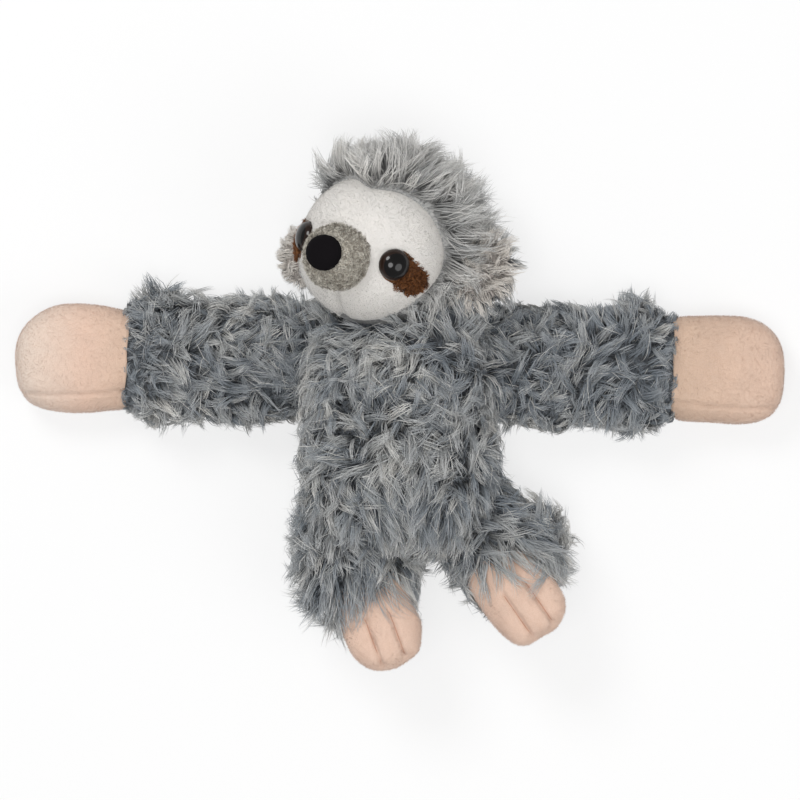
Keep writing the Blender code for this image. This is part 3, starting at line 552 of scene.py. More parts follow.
PEACH_FIBRE = fibre_material(
    "peach_fibre",
    [(0.0, 0.60, 0.42, 0.325), (1.0, 0.65, 0.475, 0.375)],
    [(0.0, 0.70, 0.525, 0.43), (1.0, 0.78, 0.615, 0.525)],
)
GREY_BACKING = cloth_material("grey_backing", (0.07, 0.08, 0.092), (0.19, 0.21, 0.23), 0.9 * MM)
HEAD_BACKING = cloth_material("head_backing", (0.20, 0.205, 0.208), (0.40, 0.40, 0.392), 0.9 * MM)
EAR_BACKING = cloth_material("ear_backing", (0.32, 0.29, 0.27), (0.48, 0.445, 0.415), 0.8 * MM)
WHITE_PLUSH = cloth_material("white_plush", (0.675, 0.66, 0.635), (0.718, 0.70, 0.676), 0.5 * MM, bump=0.015)
MUZZLE_PLUSH = cloth_material("muzzle_plush", (0.20, 0.18, 0.15), (0.58, 0.55, 0.48), 0.45 * MM)
BROWN_PLUSH = cloth_material("brown_plush", (0.05, 0.018, 0.007), (0.22, 0.085, 0.028), 0.7 * MM, sheen=0.0)
PEACH_PLUSH = cloth_material(
    "peach_plush", (0.65, 0.465, 0.365), (0.72, 0.54, 0.445), 0.4 * MM, bump=0.03, rib=1.1 * MM, painted_shading=True
)
THREAD = cloth_material("thread", (0.45, 0.25, 0.18), (0.58, 0.36, 0.27), 0.2 * MM)
NOSE_FLOCK = hard_material("nose_flock", (0.006, 0.005, 0.006), 0.9, grain=0.8, gloss=0.06)
EYE_PUPIL = hard_material("eye_pupil", (0.002, 0.0015, 0.0015), 0.3, coat=0.6, gloss=0.05)
EYE_IRIS = hard_material("eye_iris", (0.016, 0.007, 0.004), 0.3, coat=0.6, gloss=0.05)
WASHER_PLASTIC = hard_material("washer_plastic_look", (0.62, 0.62, 0.64), 0.4, grain=0.1)
BAND_STEEL = hard_material("band_steel_look", (0.45, 0.46, 0.48), 0.28, metallic=1.0, grain=0.1)
BAND_VINYL = hard_material("band_vinyl_look", (0.75, 0.76, 0.80), 0.3, grain=0.1, clear=0.4)


# Fibres


def make_pile(material, length, width, density, lean, tint, silver=0.0, **more):
    """One kind of pile. Lengths in metres, density in fibres per square metre, lean in degrees."""
    usual = dict(lock=0.0, gather=0.0, stations=(0.0, 0.34, 0.64, 0.87, 1.0), wander=0.08, curve=0.16)
    kind = dict(material=material, length=length, width=width, density=density)
    return SimpleNamespace(**kind, lean=lean, tint=tint, silver=silver, **{**usual, **more})


SHAG = dict(width=0.38 * MM, density=1.7e6, lock=3.0 * MM)
SHORT = dict(stations=(0.0, 0.6, 1.0), wander=0.0, curve=0.05)
UPRIGHT_SHORT = dict(lean=(4.0, 26.0), tint=(0.5, 0.0), **SHORT)
TORSO_PILE = make_pile(
    GREY_FIBRE, 14.5 * MM, lean=(38.0, 76.0), gather=0.85, tint=(0.37, 0.24), silver=0.07, **SHAG
)
ARM_PILE = make_pile(
    GREY_FIBRE, 13.0 * MM, lean=(42.0, 78.0), gather=0.85, tint=(0.27, 0.24), silver=0.06, **SHAG
)
LEG_PILE = make_pile(
    GREY_FIBRE, 14.0 * MM, lean=(34.0, 70.0), gather=0.8, tint=(0.26, 0.22), silver=0.05, **SHAG
)
HEAD_PILE = make_pile(
    HEAD_FIBRE, 16.0 * MM, lean=(24.0, 56.0), gather=0.7, tint=(0.54, 0.15), silver=0.06, **SHAG
)
VELOUR = make_pile(PEACH_FIBRE, 0.55 * MM, 0.10 * MM, 3.8e6, **UPRIGHT_SHORT)
FACE_PILE = make_pile(WHITE_FIBRE, 0.6 * MM, 0.10 * MM, 4.5e6, **UPRIGHT_SHORT)
MUZZLE_PILE = make_pile(
    MUZZLE_FIBRE, 1.2 * MM, 0.24 * MM, 6.0e6, (15.0, 70.0), (0.42, 0.5), lock=1.1 * MM, gather=0.8, **SHORT
)
PATCH_PILE = make_pile(
    BROWN_FIBRE, 1.9 * MM, 0.24 * MM, 7.0e6, (20.0, 75.0), (0.45, 0.3),
    lock=1.1 * MM, gather=0.75, stations=(0.0, 0.35, 0.7, 1.0), wander=0.3,
)
EAR_PILE = dict(width=0.34 * MM, density=2.2e6, lock=2.6 * MM, lean=(24.0, 62.0))
EAR_PILE |= dict(tint=(0.5, 0.13), silver=0.06)


def scatter(thing, density, rng, keep):
    """Points spread evenly over a mesh, with its smooth normals there."""
    verts, normals, tris = corners_of(thing)
    a, b, c = (verts[tris[:, k]] for k in range(3))
    area = 0.5 * np.linalg.norm(np.cross(b - a, c - a), axis=1)
    count = int(round(area.sum() * density))
    chosen = np.searchsorted(np.cumsum(area), rng.random(count) * area.sum())
    chosen = np.minimum(chosen, len(area) - 1)
    u, v = rng.random(count), rng.random(count)
    flip = u + v > 1.0
    u[flip], v[flip] = 1.0 - u[flip], 1.0 - v[flip]
    weights = np.stack([1.0 - u - v, u, v], axis=1)
    corners = tris[chosen]
    points = np.einsum("ij,ijk->ik", weights, verts[corners])
    outward = unit(np.einsum("ij,ijk->ik", weights, normals[corners]))
    kept = keep(points, outward)
    return points[kept], outward[kept]


def leaning(points, normals, comb, lean, flat, rng):
    """Directions that lean from the normal: along the comb where it is strong, at random where not."""
    drift = rng.normal(size=points.shape)
    if comb:
        drift = drift + comb(points, normals)
    drift -= normals * dot(drift, normals)[:, None]
    angle = rng.uniform(*lean, len(points))
    if flat:
        angle = angle + (FLAT_LEAN - angle) * np.clip(flat(points, normals), 0.0, 1.0)
    angle = np.radians(angle)[:, None]
    return unit(np.cos(angle) * normals + np.sin(angle) * unit(drift))


def pressed_flat(heights):
    """Fibres under the toy lie flat on the table, one over the other, instead of running into it."""
    low = FLOOR_CLEARANCE + 0.2 * MM
    room = PRESS_START - low
    return np.where(heights < PRESS_START, low + room * np.exp((heights - PRESS_START) / room), heights)


def nearest(points, centres):
    tree = KDTree(len(centres))
    for i, centre in enumerate(centres):
        tree.insert(centre, i)
    tree.balance()
    return np.array([tree.find(point)[1] for point in points])


def grow(name, skin, pile, seed, keep, comb=None, shape=None, length=None, shade=None, flat=None):
    """A piece of fibres on a skin. Each fibre is a closed tapering tube of three sides.

    Long pile gathers into locks, whose fibres meet near their tips. keep(points, normals) says where
    fibres start, shape(path, roots) may bend them away from what they must not cover, length(points)
    scales them, shade(points) lightens them and flat(points, normals) lays them down.
    """
    rng = np.random.default_rng(seed)
    roots, normals = scatter(skin, pile.density, rng, keep)
    count = len(roots)
    reach = pile.length * rng.uniform(*LENGTH_SPREAD, count)
    if length:
        reach = reach * length(roots)
    silver = rng.random(count) < pile.silver
    bow = rng.normal(size=roots.shape)
    if pile.lock:
        picks = rng.choice(count, max(1, int(count / (pile.density * pile.lock**2))), replace=False)
        lock_way = leaning(roots[picks], normals[picks], comb, pile.lean, flat, rng)
        lock_size = rng.uniform(*LOCK_SPREAD, len(picks))
        lock_tint = pile.tint[0] + pile.tint[1] * rng.normal(size=len(picks))
        lock_bow = rng.normal(size=lock_way.shape)
        own = nearest(roots, roots[picks])
        way = unit(lock_way[own] + np.where(silver, 0.35, 0.14)[:, None] * bow)
        reach = reach * lock_size[own]
        bow = lock_bow[own] + 0.3 * bow
        tint = lock_tint[own]
        pull = pile.gather * rng.uniform(*PULL_SPREAD, count) * np.where(silver, 0.4, 1.0)
        aim = roots[picks][own] + lock_way[own] * reach[:, None]
        aim = aim + 0.03 * pile.length * rng.normal(size=roots.shape)
        ends = roots + way * reach[:, None]
        ends = ends + (aim - ends) * np.clip(pull, 0.0, 1.0)[:, None]
    else:
        way = leaning(roots, normals, comb, pile.lean, flat, rng)
        tint = np.full(count, pile.tint[0])
        ends = roots + way * reach[:, None]
    bow = np.cross(way, bow)
    knees = roots + normals * (STAND * reach)[:, None] + 0.2 * (ends - roots)
    knees = knees + pile.curve * reach[:, None] * bow
    t = np.array(pile.stations)[None, :, None]
    path = (1.0 - t) ** 2 * roots[:, None] + 2.0 * t * (1.0 - t) * knees[:, None] + t**2 * ends[:, None]
    sway = unit(np.cross(way, rng.normal(size=roots.shape)))
    swing = np.sin(t * rng.uniform(2.0, 5.0, count)[:, None, None]) * t
    path = path + sway[:, None] * swing * (pile.wander * reach)[:, None, None]
    if shape:
        path = shape(path, roots)
    path[..., 2] = pressed_flat(path[..., 2])
    tint = tint + 0.05 * rng.normal(size=count)
    if shade:
        tint = tint + shade(roots)
    tint = np.where(silver, rng.uniform(*SILVER_TINTS, count), tint)
    column = np.clip(np.floor(np.clip(tint, 0.0, 1.0) * COLUMNS), 0, COLUMNS - 1)
    thickness = pile.width * rng.uniform(*WIDTH_SPREAD, count)
    return tubes(name, path, thickness, column, np.array(pile.stations), rng, pile.material)


def tubes(name, path, thickness, column, stations, rng, material):
    """Closed tapering tubes of three sides along many paths, in one mesh."""
    count, rings = path.shape[0], path.shape[1] - 1
    tangent = unit(np.gradient(path, axis=1))
    side = unit(np.cross(tangent, unit(rng.normal(size=(count, 1, 3)))))
    other = np.cross(tangent, side)
    taper = 0.5 * (1.0 - 0.72 * stations[:rings] ** 1.6)
    radius = thickness[:, None] * taper[None, :]
    each = rings * 3 + 1
    verts = np.empty((count, each, 3))
    for k in range(3):
        angle = tau * k / 3.0
        spoke = cos(angle) * side[:, :rings] + sin(angle) * other[:, :rings]
        verts[:, k : rings * 3 : 3] = path[:, :rings] + radius[..., None] * spoke
    verts[:, -1] = path[:, -1]
    verts[..., 2] = np.maximum(verts[..., 2], FLOOR_CLEARANCE)
    loops, sizes = [2, 1, 0], [3]
    for r in range(rings):
        for k in range(3):
            a, b = 3 * r + k, 3 * r + (k + 1) % 3
            loops += [a, b, b + 3, a + 3] if r < rings - 1 else [a, b, each - 1]
            sizes.append(4 if r < rings - 1 else 3)
    loops, sizes = np.array(loops), np.array(sizes)
    every_loop = (np.arange(count)[:, None] * each + loops[None]).ravel()
    every_size = np.tile(sizes, count)
    starts = np.concatenate([[0], np.cumsum(every_size)[:-1]])
    mesh = bpy.data.meshes.new(name)
    mesh.vertices.add(count * each)
    mesh.vertices.foreach_set("co", verts.astype(np.float32).ravel())
    mesh.loops.add(len(every_loop))
    mesh.loops.foreach_set("vertex_index", every_loop.astype(np.int32))
    mesh.polygons.add(len(every_size))
    mesh.polygons.foreach_set("loop_start", starts.astype(np.int32))
    mesh.polygons.foreach_set("use_smooth", np.ones(len(every_size), bool))
    along = np.append(np.repeat(stations[:rings], 3), 1.0)
    point_values(mesh, "fibre_along", np.tile(along, count))
    point_values(mesh, "fibre_tint", np.repeat((column + 0.5) / COLUMNS, each))
    place = np.append(np.tile([0.15, 0.5, 0.85], rings), 0.5)
    across = (column[:, None] + place[loops][None]) / COLUMNS
    up = np.tile(0.02 + 0.96 * along[loops], (count, 1))
    up[:, 1] = 0.0
    chart = mesh.uv_layers.new(name="OFBake")
    chart.uv.foreach_set("vector", np.stack([across, up], axis=-1).astype(np.float32).ravel())
    mesh.update(calc_edges=True)
    return add_object(name, mesh, material)


def ride(things, body, nodes):
    """Put pieces on a body, and hide the CAD nodes that they stand for."""
    for thing in things:
        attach(thing, body)
    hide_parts(*nodes)


def bend(things, nodes):
    """Bake the pieces' placement into their meshes, and hide the CAD nodes that they stand for, if any."""
    for thing in things:
        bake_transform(thing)
    if nodes:
        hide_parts(*nodes)


# Where each form is, also to leave out fibres that would start inside a neighbour


def hanging(turn, lift):
    """A direction down the toy, turned toward its left and lifted off the table."""
    return cos(lift) * np.array([sin(turn), -cos(turn), 0.0]) + sin(lift) * UPRIGHT


TORSO = Place(np.array([0.0, NECK_Y, TORSO_CENTRE_Z]) + SHIFT, DOWN)
ARM, LEG, FOOT = {}, {}, {}
for SIDE, TURN in ((1, ARM_TILT), (-1, ARM_TILT + pi)):
    ARM[SIDE] = Place(np.array([0.0, ARM_Y, 0.0]) + SHIFT, (cos(TURN), sin(TURN), 0.0))
    LEG_ORIGIN = np.array([SIDE * LEG_START[0], *LEG_START[1:]]) + SHIFT
    LEG[SIDE] = Place(LEG_ORIGIN, hanging(LEG_SPLAY[SIDE], LEG_LIFT))
    FOOT[SIDE] = Place(np.array(FOOT_START[SIDE]) + SHIFT, hanging(FOOT_TURN[SIDE], FOOT_PITCH))


def within(across, rise, half_width, half_depth, power=BODY_POWER):
    return (np.abs(across / half_width) ** power + np.abs(rise / half_depth) ** power) ** (1.0 / power)


def in_torso(points, reach=0.9):
    local = TORSO.inside(points)
    share = local[:, 0] / TORSO_LENGTH
    wide, deep = profile(TORSO_SHARES, np.clip(share, 0.0, TORSO_END))
    level = within(local[:, 1], local[:, 2], wide * TORSO_HALF_WIDTH, deep * TORSO_HALF_DEPTH)
    return (share > 0.0) & (share < 0.96) & (level < reach)


def arm_share(along):
    return (along - SHOULDER) / (WRIST - SHOULDER)


def in_arm(points, side, reach=0.85):
    local = ARM[side].inside(points)
    wide, deep = profile(ARM_SHARES, arm_share(local[:, 0]))
    half_depth = deep * ARM_HALF_DEPTH
    level = within(local[:, 1], local[:, 2] - half_depth + SINK, wide * ARM_HALF_WIDTH, half_depth, ARM_POWER)
    return (local[:, 0] > 0.0) & (level < reach)


def in_leg(points, side, reach=0.85):
    local = LEG[side].inside(points)
    share = np.clip(local[:, 0] / LEG_LENGTH, 0.0, 1.0)
    wide, deep = profile(LEG_SHARES, share) * (1.0 - share**2) ** (0.5 * BLUNT_SHARE)
    level = within(local[:, 1], local[:, 2], wide * LEG_HALF_WIDTH + 1e-6, deep * LEG_HALF_DEPTH + 1e-6)
    return (local[:, 0] > 0.0) & (local[:, 0] < LEG_LENGTH) & (level < reach)


def in_foot(points, side, reach=0.8):
    local = FOOT[side].inside(points)
    level = within(local[:, 1], local[:, 2], FOOT_HALF_WIDTH, FOOT_HALF_DEPTH)
    return (local[:, 0] > 0.0) & (local[:, 0] < FOOT_LENGTH) & (level < reach)


def from_head(points):
    return np.linalg.norm(points - HEAD_CENTRE, axis=1)


def keep_off_head(path, roots=None):
    """Fibres near the head lie outside its surface instead of running into it."""
    rel = path - HEAD_CENTRE
    far = np.linalg.norm(rel, axis=-1, keepdims=True)
    return HEAD_CENTRE + rel / far * np.maximum(far, FUR_RADIUS + 0.4 * MM)


# Torso


def make_torso():
    """One coat, with its fur in three pieces: chest, belly and back."""
    rows = []
    closing = TORSO_CLOSE + 0.06 * np.sin(np.linspace(0.1, 1.45, 8))
    for share in np.concatenate([np.linspace(0.0, TORSO_CLOSE, 30), closing]):
        wide, deep = profile(TORSO_SHARES, min(share, TORSO_END))[:, 0]
        if share > TORSO_CLOSE:
            close = sqrt(max(1.0 - ((share - TORSO_CLOSE) / 0.0605) ** 2, 0.0))
            wide, deep = profile(TORSO_SHARES, TORSO_CLOSE)[:, 0] * close
        half_width = wide * TORSO_HALF_WIDTH - COAT_INSET * min(1.0, wide * 2.0)
        half_depth = deep * TORSO_HALF_DEPTH - COAT_INSET * min(1.0, deep * 2.0)
        rows.append((share * TORSO_LENGTH, 0.0, half_width, half_depth))
    coat = loft("torso_coat", stack(TORSO, rows, BODY_POWER, 64), GREY_BACKING)
    reshape(coat, lumps(0.9 * MM, 22.0 * MM, 11))

    def height(points):
        return points[:, 1] - SHIFT[1]

    def in_part(points, which):
        """In the open, on the chest (0), the belly (1) or the back (2)."""
        part = np.where(points[:, 2] > TORSO_CENTRE_Z, (height(points) < BELLY_TOP).astype(int), 2)
        found = (from_head(points) > FUR_RADIUS + 0.5 * MM) & (part == which)
        for side, _ in SIDES:
            found &= ~in_arm(points, side, 0.93) & ~in_leg(points, side)
        return found

    def comb(points, normals):
        low = smooth_step(-10.0 * MM, -55.0 * MM, height(points))
        return DOWN[None] * (0.3 + 2.2 * low)[:, None] + swirls(points, 200)

    def by_place(points):
        """Shorter between the legs and at the flanks."""
        flank = smooth_step(0.65, 0.95, np.abs(points[:, 0]) / TORSO_HALF_WIDTH)
        return (1.0 - 0.25 * flank) * (1.0 - 0.6 * smooth_step(-40.0 * MM, -57.0 * MM, height(points)))

    def torso_shade(points):
        """Patches of tone, paler across the middle of the belly: painted shade darkens the top, under the
        head, and more the bottom, by the legs.
        """
        level = height(points)
        ends = smooth_step(10.0 * MM, 30.0 * MM, level) + 1.3 * smooth_step(-15.0 * MM, -35.0 * MM, level)
        return 0.22 * waves(points, SHADE_WAVE, 5) - 0.06 * ends

    furs = []
    for which, part in enumerate(("chest", "belly", "back")):
        fur = grow(
            f"torso_fur_{part}", coat, TORSO_PILE, 20 + which, lambda p, n: in_part(p, which),
            comb, keep_off_head, by_place, torso_shade,
            flat=lambda p, n: 0.55 * smooth_step(0.55, 1.0, np.abs(n[:, 0])),
        )
        furs.append(fur)
    ride([coat, *furs], "torso", ("torso_fur_cover", "torso_stuffing"))


# Arms


def arm_rings(place, start, end):
    rows = []
    for along in np.linspace(start, end, max(3, int((end - start) / (1.6 * MM)))):
        wide, deep = profile(ARM_SHARES, arm_share(along))[:, 0]
        half = wide * ARM_HALF_WIDTH - COAT_INSET, deep * ARM_HALF_DEPTH - COAT_INSET
        rows.append((along, deep * ARM_HALF_DEPTH - SINK, *half))
    return stack(place, rows, ARM_POWER)


def make_arm(side, word):
    place = ARM[side]
    half = 0.5 * (SHOULDER + ELBOW), 0.5 * (ELBOW + WRIST)
    stretches = (
        ("shoulder", "torso", "upper_arm", 22.0 * MM, half[0], SHOULDER, 9.0 * MM),
        ("elbow", "upper_arm", "forearm", half[0], half[1], ELBOW, 10.0 * MM),
        ("wrist", "forearm", "hand", half[1], WRIST - 0.3 * MM, WRIST - 6.0 * MM, 5.5 * MM),
    )

    def before_hand(path, roots):
        """Fibres by the cuff stop short of the mitt."""
        local = place.inside(path)
        root = place.inside(roots)[:, None, 0]
        room = WRIST + 1.2 * MM - root
        over = local[..., 0] - root
        local[..., 0] = root + np.where(over > 0.0, room * np.tanh(over / np.maximum(room, 1e-5)), over)
        return keep_off_head(place.out(local))

    def arm_shade(points):
        """Darker and bluer along the middle as painted shade, deeper on the toy's left arm; darker also at
        the cuff, paler at both edges.
        """
        local = place.inside(points)
        edge = smooth_step(0.45, 0.95, np.abs(local[:, 1]) / ARM_HALF_WIDTH)
        cuff = smooth_step(WRIST - 5.0 * MM, WRIST, local[:, 0])
        return 0.16 * waves(points, SHADE_WAVE, 6) - ARM_PAINTED_SHADE[side] + 0.34 * edge - 0.3 * cuff

    def by_place(points):
        """Shorter toward the cuff and, as brushed, at the edges."""
        local = place.inside(points)
        cuff = 1.0 - 0.62 * smooth_step(WRIST - 13.0 * MM, WRIST - 1.0 * MM, local[:, 0])
        upper, lower = profile(EDGE_SHARES[side], arm_share(local[:, 0]))
        out = side * local[:, 1] / ARM_HALF_WIDTH
        over, under = smooth_step(0.35, 0.85, out), smooth_step(0.35, 0.85, -out)
        return cuff * (1.0 + over * (upper - 1.0) + under * (lower - 1.0))

    for i, (part, a, b, start, end, fold, zone) in enumerate(stretches):
        coat = loft(f"{word}_{part}_coat", arm_rings(place, start - 0.4 * MM, end), GREY_BACKING)
        reshape(coat, lumps(0.8 * MM, 20.0 * MM, 12))

        def on_sleeve(points, normals):
            along = place.inside(points)[:, 0]
            level = np.abs(normals @ place.axes[0])
            return (along > start) & (along < end) & (level < 0.8) & ~in_torso(points)

        fur = grow(
            f"{word}_{part}_fur", coat, ARM_PILE, 100 + 10 * i + side, on_sleeve,
            lambda p, n: 0.4 * DOWN[None] * smooth_step(0.3, -0.3, n[:, 1])[:, None] + swirls(p, 210),
            before_hand, by_place, arm_shade,
            flat=lambda p, n: 0.5 * smooth_step(0.2, 0.9, -n[:, 1]) + 0.1 * smooth_step(0.2, 0.9, n[:, 1]),
        )
        bodies = a if a == "torso" else f"{word}_{a}", f"{word}_{b}"
        level = JOINTS[f"{word}_{part}_curl"]["pos_m"][2]
        ends = [place.out((fold + step, 0.0, level)) for step in (-zone, zone)]
        nodes = () if b == "hand" else (f"{bodies[1]}_sleeve", f"{bodies[1]}_stuffing")
        bend([coat, fur], nodes)


def make_hand(side, word):
    place = ARM[side]
    middle = HAND_HALF_DEPTH - SINK
    rows = []
    for share in np.concatenate([[-0.02], np.sin(np.linspace(0.0, 0.5 * pi, 34)[:-1])]):
        wide, deep = profile(HAND_SHARES, max(share, 0.0))[:, 0]
        shrink = sqrt(max(1.0 - share * share, 0.0)) ** BLUNT_SHARE if share > 0.0 else 0.97
        half = wide * HAND_HALF_WIDTH * shrink, deep * HAND_HALF_DEPTH * shrink
        rows.append((WRIST + share * HAND_LENGTH, middle, *half))
    rings = [*stack(place, rows, ARM_POWER, 96), place.out((HAND_TIP, 0.0, middle))]
    mitt = loft(f"{word}_mitt", rings, PEACH_PLUSH)

    def share_along(points):
        return (place.inside(points)[:, 0] - WRIST) / HAND_LENGTH

    def rounder(verts, normals):
        """The upper corner of the mitt is rounder than the lower one."""
        rise = np.maximum(side * place.inside(verts)[:, 1] / HAND_HALF_WIDTH, 0.0)
        share = smooth_step(0.35, 1.0, share_along(verts))
        return -(UPPER_ROUND[side] * rise**2 * share)[:, None] * place.axes[0]

    def sewn(verts, normals):
        """The seam round the mitt's lower side and soft creases by the cuff."""
        local = place.inside(verts)
        from_seam = local[:, 1] * side + 12.5 * MM + 2.0 * MM * np.sin(share_along(verts) * 2.6)
        seam = hump(from_seam, 0.7 * MM) * (local[:, 2] > HAND_HALF_DEPTH)
        folds = hump(local[:, 0] - WRIST, 5.0 * MM) * np.sin(local[:, 1] / (2.6 * MM)) * 0.35
        press = -0.7 * MM * seam + 1.1 * MM * folds + 0.3 * MM * waves(verts, 24.0 * MM, 30 + side)
        return normals * press[:, None]

    def hand_shade(points):
        """Faint ribs, with painted shade deeper toward the cuff, painted light on the toy's right hand and
        painted shade on its left.
        """
        ribs = 0.3 * np.sin(tau * points[:, 0] / (1.5 * MM) + 2.0 * waves(points, 12.0 * MM, 33))
        near_cuff = smooth_step(HAND_TIP - 8.0 * MM, WRIST, place.inside(points)[:, 0])
        return ribs - 0.35 * near_cuff + HAND_LIGHT[side]

    reshape(mitt, rounder)
    reshape(mitt, sewn)
    # Painted shade on the mitt, deepest at the cuff, with painted light toward the tip
    deepest, fade = HAND_PAINTED_SHADING[side]
    point_values(mitt.data, "tone", deepest - fade * share_along(corners_of(mitt)[0]))
    velour = grow(
        f"{word}_mitt_velour", mitt, VELOUR, 140 + side,
        lambda p, n: place.inside(p)[:, 0] > WRIST + 0.6 * MM,
        shade=hand_shade,
    )
    nodes = (f"{word}_hand_cover", f"{word}_hand_stuffing")
    ride([mitt, velour], f"{word}_hand", nodes)


# Head


def head_axes():
    """Directions to the head's own left, up and forward."""
    upright = Matrix.Rotation(HEAD_ROLL, 3, "Z") @ Vector((0.0, 1.0, 0.0))
    forward = Matrix.Rotation(HEAD_YAW, 3, upright) @ Vector((0.0, 0.0, 1.0))
    return [unit(np.array(v)) for v in (upright.cross(forward), upright, forward)]


LEFT, UP, FORWARD = head_axes()
FACE_CENTRE = HEAD_CENTRE + FACE_FORWARD * FORWARD


def head_direction(azimuth, elevation):
    return cos(elevation) * (cos(azimuth) * FORWARD + sin(azimuth) * LEFT) + sin(elevation) * UP


def head_reach(directions, radius):
    """Distance from the head's centre to its skin: round by the neck, longer at face and crown."""
    clear = smooth_step(NECK_CLEAR_ANGLE, NECK_BLEND_ANGLE, angle_from(directions, DOWN))
    forward = FACE_FORWARD * np.maximum(directions @ FORWARD, 0.0)
    crown = CROWN_RISE * np.maximum(directions @ UP, 0.0) ** 2
    return radius + clear * (forward + crown)


def round_and_out(around, out):
    """Directions by angle round the face's axis, from the toy's left, and angle out from it."""
    flat = np.cos(around)[..., None] * LEFT + np.sin(around)[..., None] * UP
    return np.cos(out)[..., None] * FORWARD + np.sin(out)[..., None] * flat


def seam_out(around):
    """The face seam's angle out from the face's axis, mirrored from side to side."""
    folded = np.degrees(np.arcsin(np.clip(np.sin(around), -1.0, 1.0)))
    return np.radians(profile(SEAM_SHARES, folded.ravel())[0]).reshape(around.shape)


def face_angles(points):
    """Distance from the face's centre, angle out from its axis and angle round it."""
    rel = points - FACE_CENTRE
    far = np.linalg.norm(rel, axis=-1)
    ways = rel / far[..., None]
    return far, angle_from(ways, FORWARD), np.arctan2(ways @ UP, ways @ LEFT)


def face_hump(directions, side, azimuth, elevation, width):
    return hump(angle_from(directions, head_direction(side * azimuth, elevation)), width)


def face_surface(directions):
    """The face's own skin, round its centre, with fuller cheeks and a soft chin."""
    cheeks = sum(face_hump(directions, side, *CHEEK) for side, _ in SIDES)
    sockets = sum(face_hump(directions, side, *EYE_SOCKET) for side, _ in SIDES)
    brow = face_hump(directions, 1, *BROW)
    side_way, rise, ahead = directions @ LEFT, directions @ UP, directions @ FORWARD
    cleft = hump(side_way, 0.045) * smooth_step(-0.35, -0.8, rise) * (ahead > 0.0)
    radius = FACE_RADIUS + 0.9 * MM * cheeks + 0.5 * MM * brow - 0.9 * MM * sockets - 1.6 * MM * cleft
    return FACE_CENTRE + directions * radius[..., None]


def make_head():
    around = tau * (np.arange(96) + 0.5) / 96
    seam = seam_out(around)
    rings = [face_surface(FORWARD[None])[0]]
    for share in np.linspace(0.0, 1.0, 40)[1:]:
        rings.append(face_surface(round_and_out(around, share * (seam + 0.06))))
    rings += [rings[-1] + (HEAD_CENTRE - rings[-1]) * 0.25, HEAD_CENTRE]
    face = loft("face_plush", rings, WHITE_PLUSH)

    edge = face_surface(round_and_out(around, seam)) - HEAD_CENTRE
    seam_angle = angle_from(unit(edge), FORWARD)
    rings = [HEAD_CENTRE, HEAD_CENTRE + edge * 0.75]
    for share in np.linspace(0.0, 1.0, 34)[:-1]:
        ways = round_and_out(around, seam_angle + share * (pi - seam_angle))
        reach = head_reach(ways, FUR_RADIUS - HEAD_INSET)
        if share == 0.0:
            reach = np.linalg.norm(edge, axis=1) - 0.3 * MM
        rings.append(HEAD_CENTRE + ways * reach[:, None])
    rings.append(HEAD_CENTRE - FORWARD * (FUR_RADIUS - HEAD_INSET))
    coat = loft("head_coat", rings, HEAD_BACKING)

    def on_skull(points, normals):
        ways = unit(points - HEAD_CENTRE)
        outward = dot(normals, ways) > 0.5
        return (from_head(points) > 26.0 * MM) & outward & (angle_from(ways, DOWN) > NECK_BALD)

    def comb(points, normals):
        """Away from the face all round, and up at the crown."""
        away = unit(points - FACE_CENTRE - FORWARD * 6.0 * MM)
        return 1.5 * (away - 0.4 * FORWARD) + 0.4 * UP + swirls(points, 230, 0.6)

    def off_the_face(path, roots):
        """No fibre lies over the white face: its path is turned out beyond the seam."""
        far, out, turn = face_angles(path)
        least = seam_out(turn) - 0.01
        kept = round_and_out(turn, np.maximum(out, least - 0.14 * smooth_step(29 * MM, 42 * MM, far)))
        placed = FACE_CENTRE + kept * far[..., None]
        over = np.maximum(placed[..., 1] - CROWN_SOFT_TOP, 0.0)
        placed[..., 1] -= over - CROWN_SOFT_ROOM * np.tanh(over / CROWN_SOFT_ROOM)
        return placed

    def by_place(points):
        """Longest between the crown and the toy's left, shorter by the chin and on its right cheek."""
        ways = unit(points - HEAD_CENTRE)
        rise, left = ways @ UP, ways @ LEFT
        full = profile(FUR_SHARES, np.degrees(np.arctan2(left, rise)))[0]
        cheek = smooth_step(0.1, 0.7, -left) * smooth_step(0.75, 0.35, rise)
        by_neck = 0.5 * smooth_step(NECK_BALD + 0.6, NECK_BALD, angle_from(ways, DOWN))
        return full - 0.18 * np.maximum(-rise, 0.0) - 0.42 * cheek - by_neck

    def head_shade(points):
        """Patches of tone, with painted light toward the crown and painted shade at the toy's left side."""
        ways = unit(points - HEAD_CENTRE)
        left = smooth_step(0.3, 0.8, ways @ LEFT)
        return 0.2 * waves(points, SHADE_WAVE, 7) + 0.05 * (ways @ UP) - 0.12 * left

    def pressed(points, normals):
        """Brushed flat behind the face at the toy's right, and round the neck."""
        ways = unit(points - HEAD_CENTRE)
        behind = smooth_step(0.35, 0.8, -(ways @ LEFT)) * smooth_step(0.6, 0.25, ways @ UP)
        return np.maximum(behind, smooth_step(NECK_BALD + 0.6, NECK_BALD + 0.1, angle_from(ways, DOWN)))

    def on_face(points, normals):
        far, out, turn = face_angles(points)
        return (far > 0.9 * FACE_RADIUS) & (out < seam_out(turn) + 0.02)

    furs = []
    for part, facing in (("front", 1), ("back", -1)):
        fur = grow(
            f"head_fur_{part}", coat, HEAD_PILE, 41 + facing,
            lambda p, n: on_skull(p, n) & (facing * (p[:, 2] - HEAD_CENTRE[2]) > 0.0),
            comb, off_the_face, by_place, head_shade, pressed,
        )
        furs.append(fur)
    fuzz = grow("face_fuzz", face, FACE_PILE, 43, on_face)
    ride([coat, *furs], "head", ("head_fur_cover", "head_stuffing"))
    ride([face, fuzz], "head", ("face_panel",))


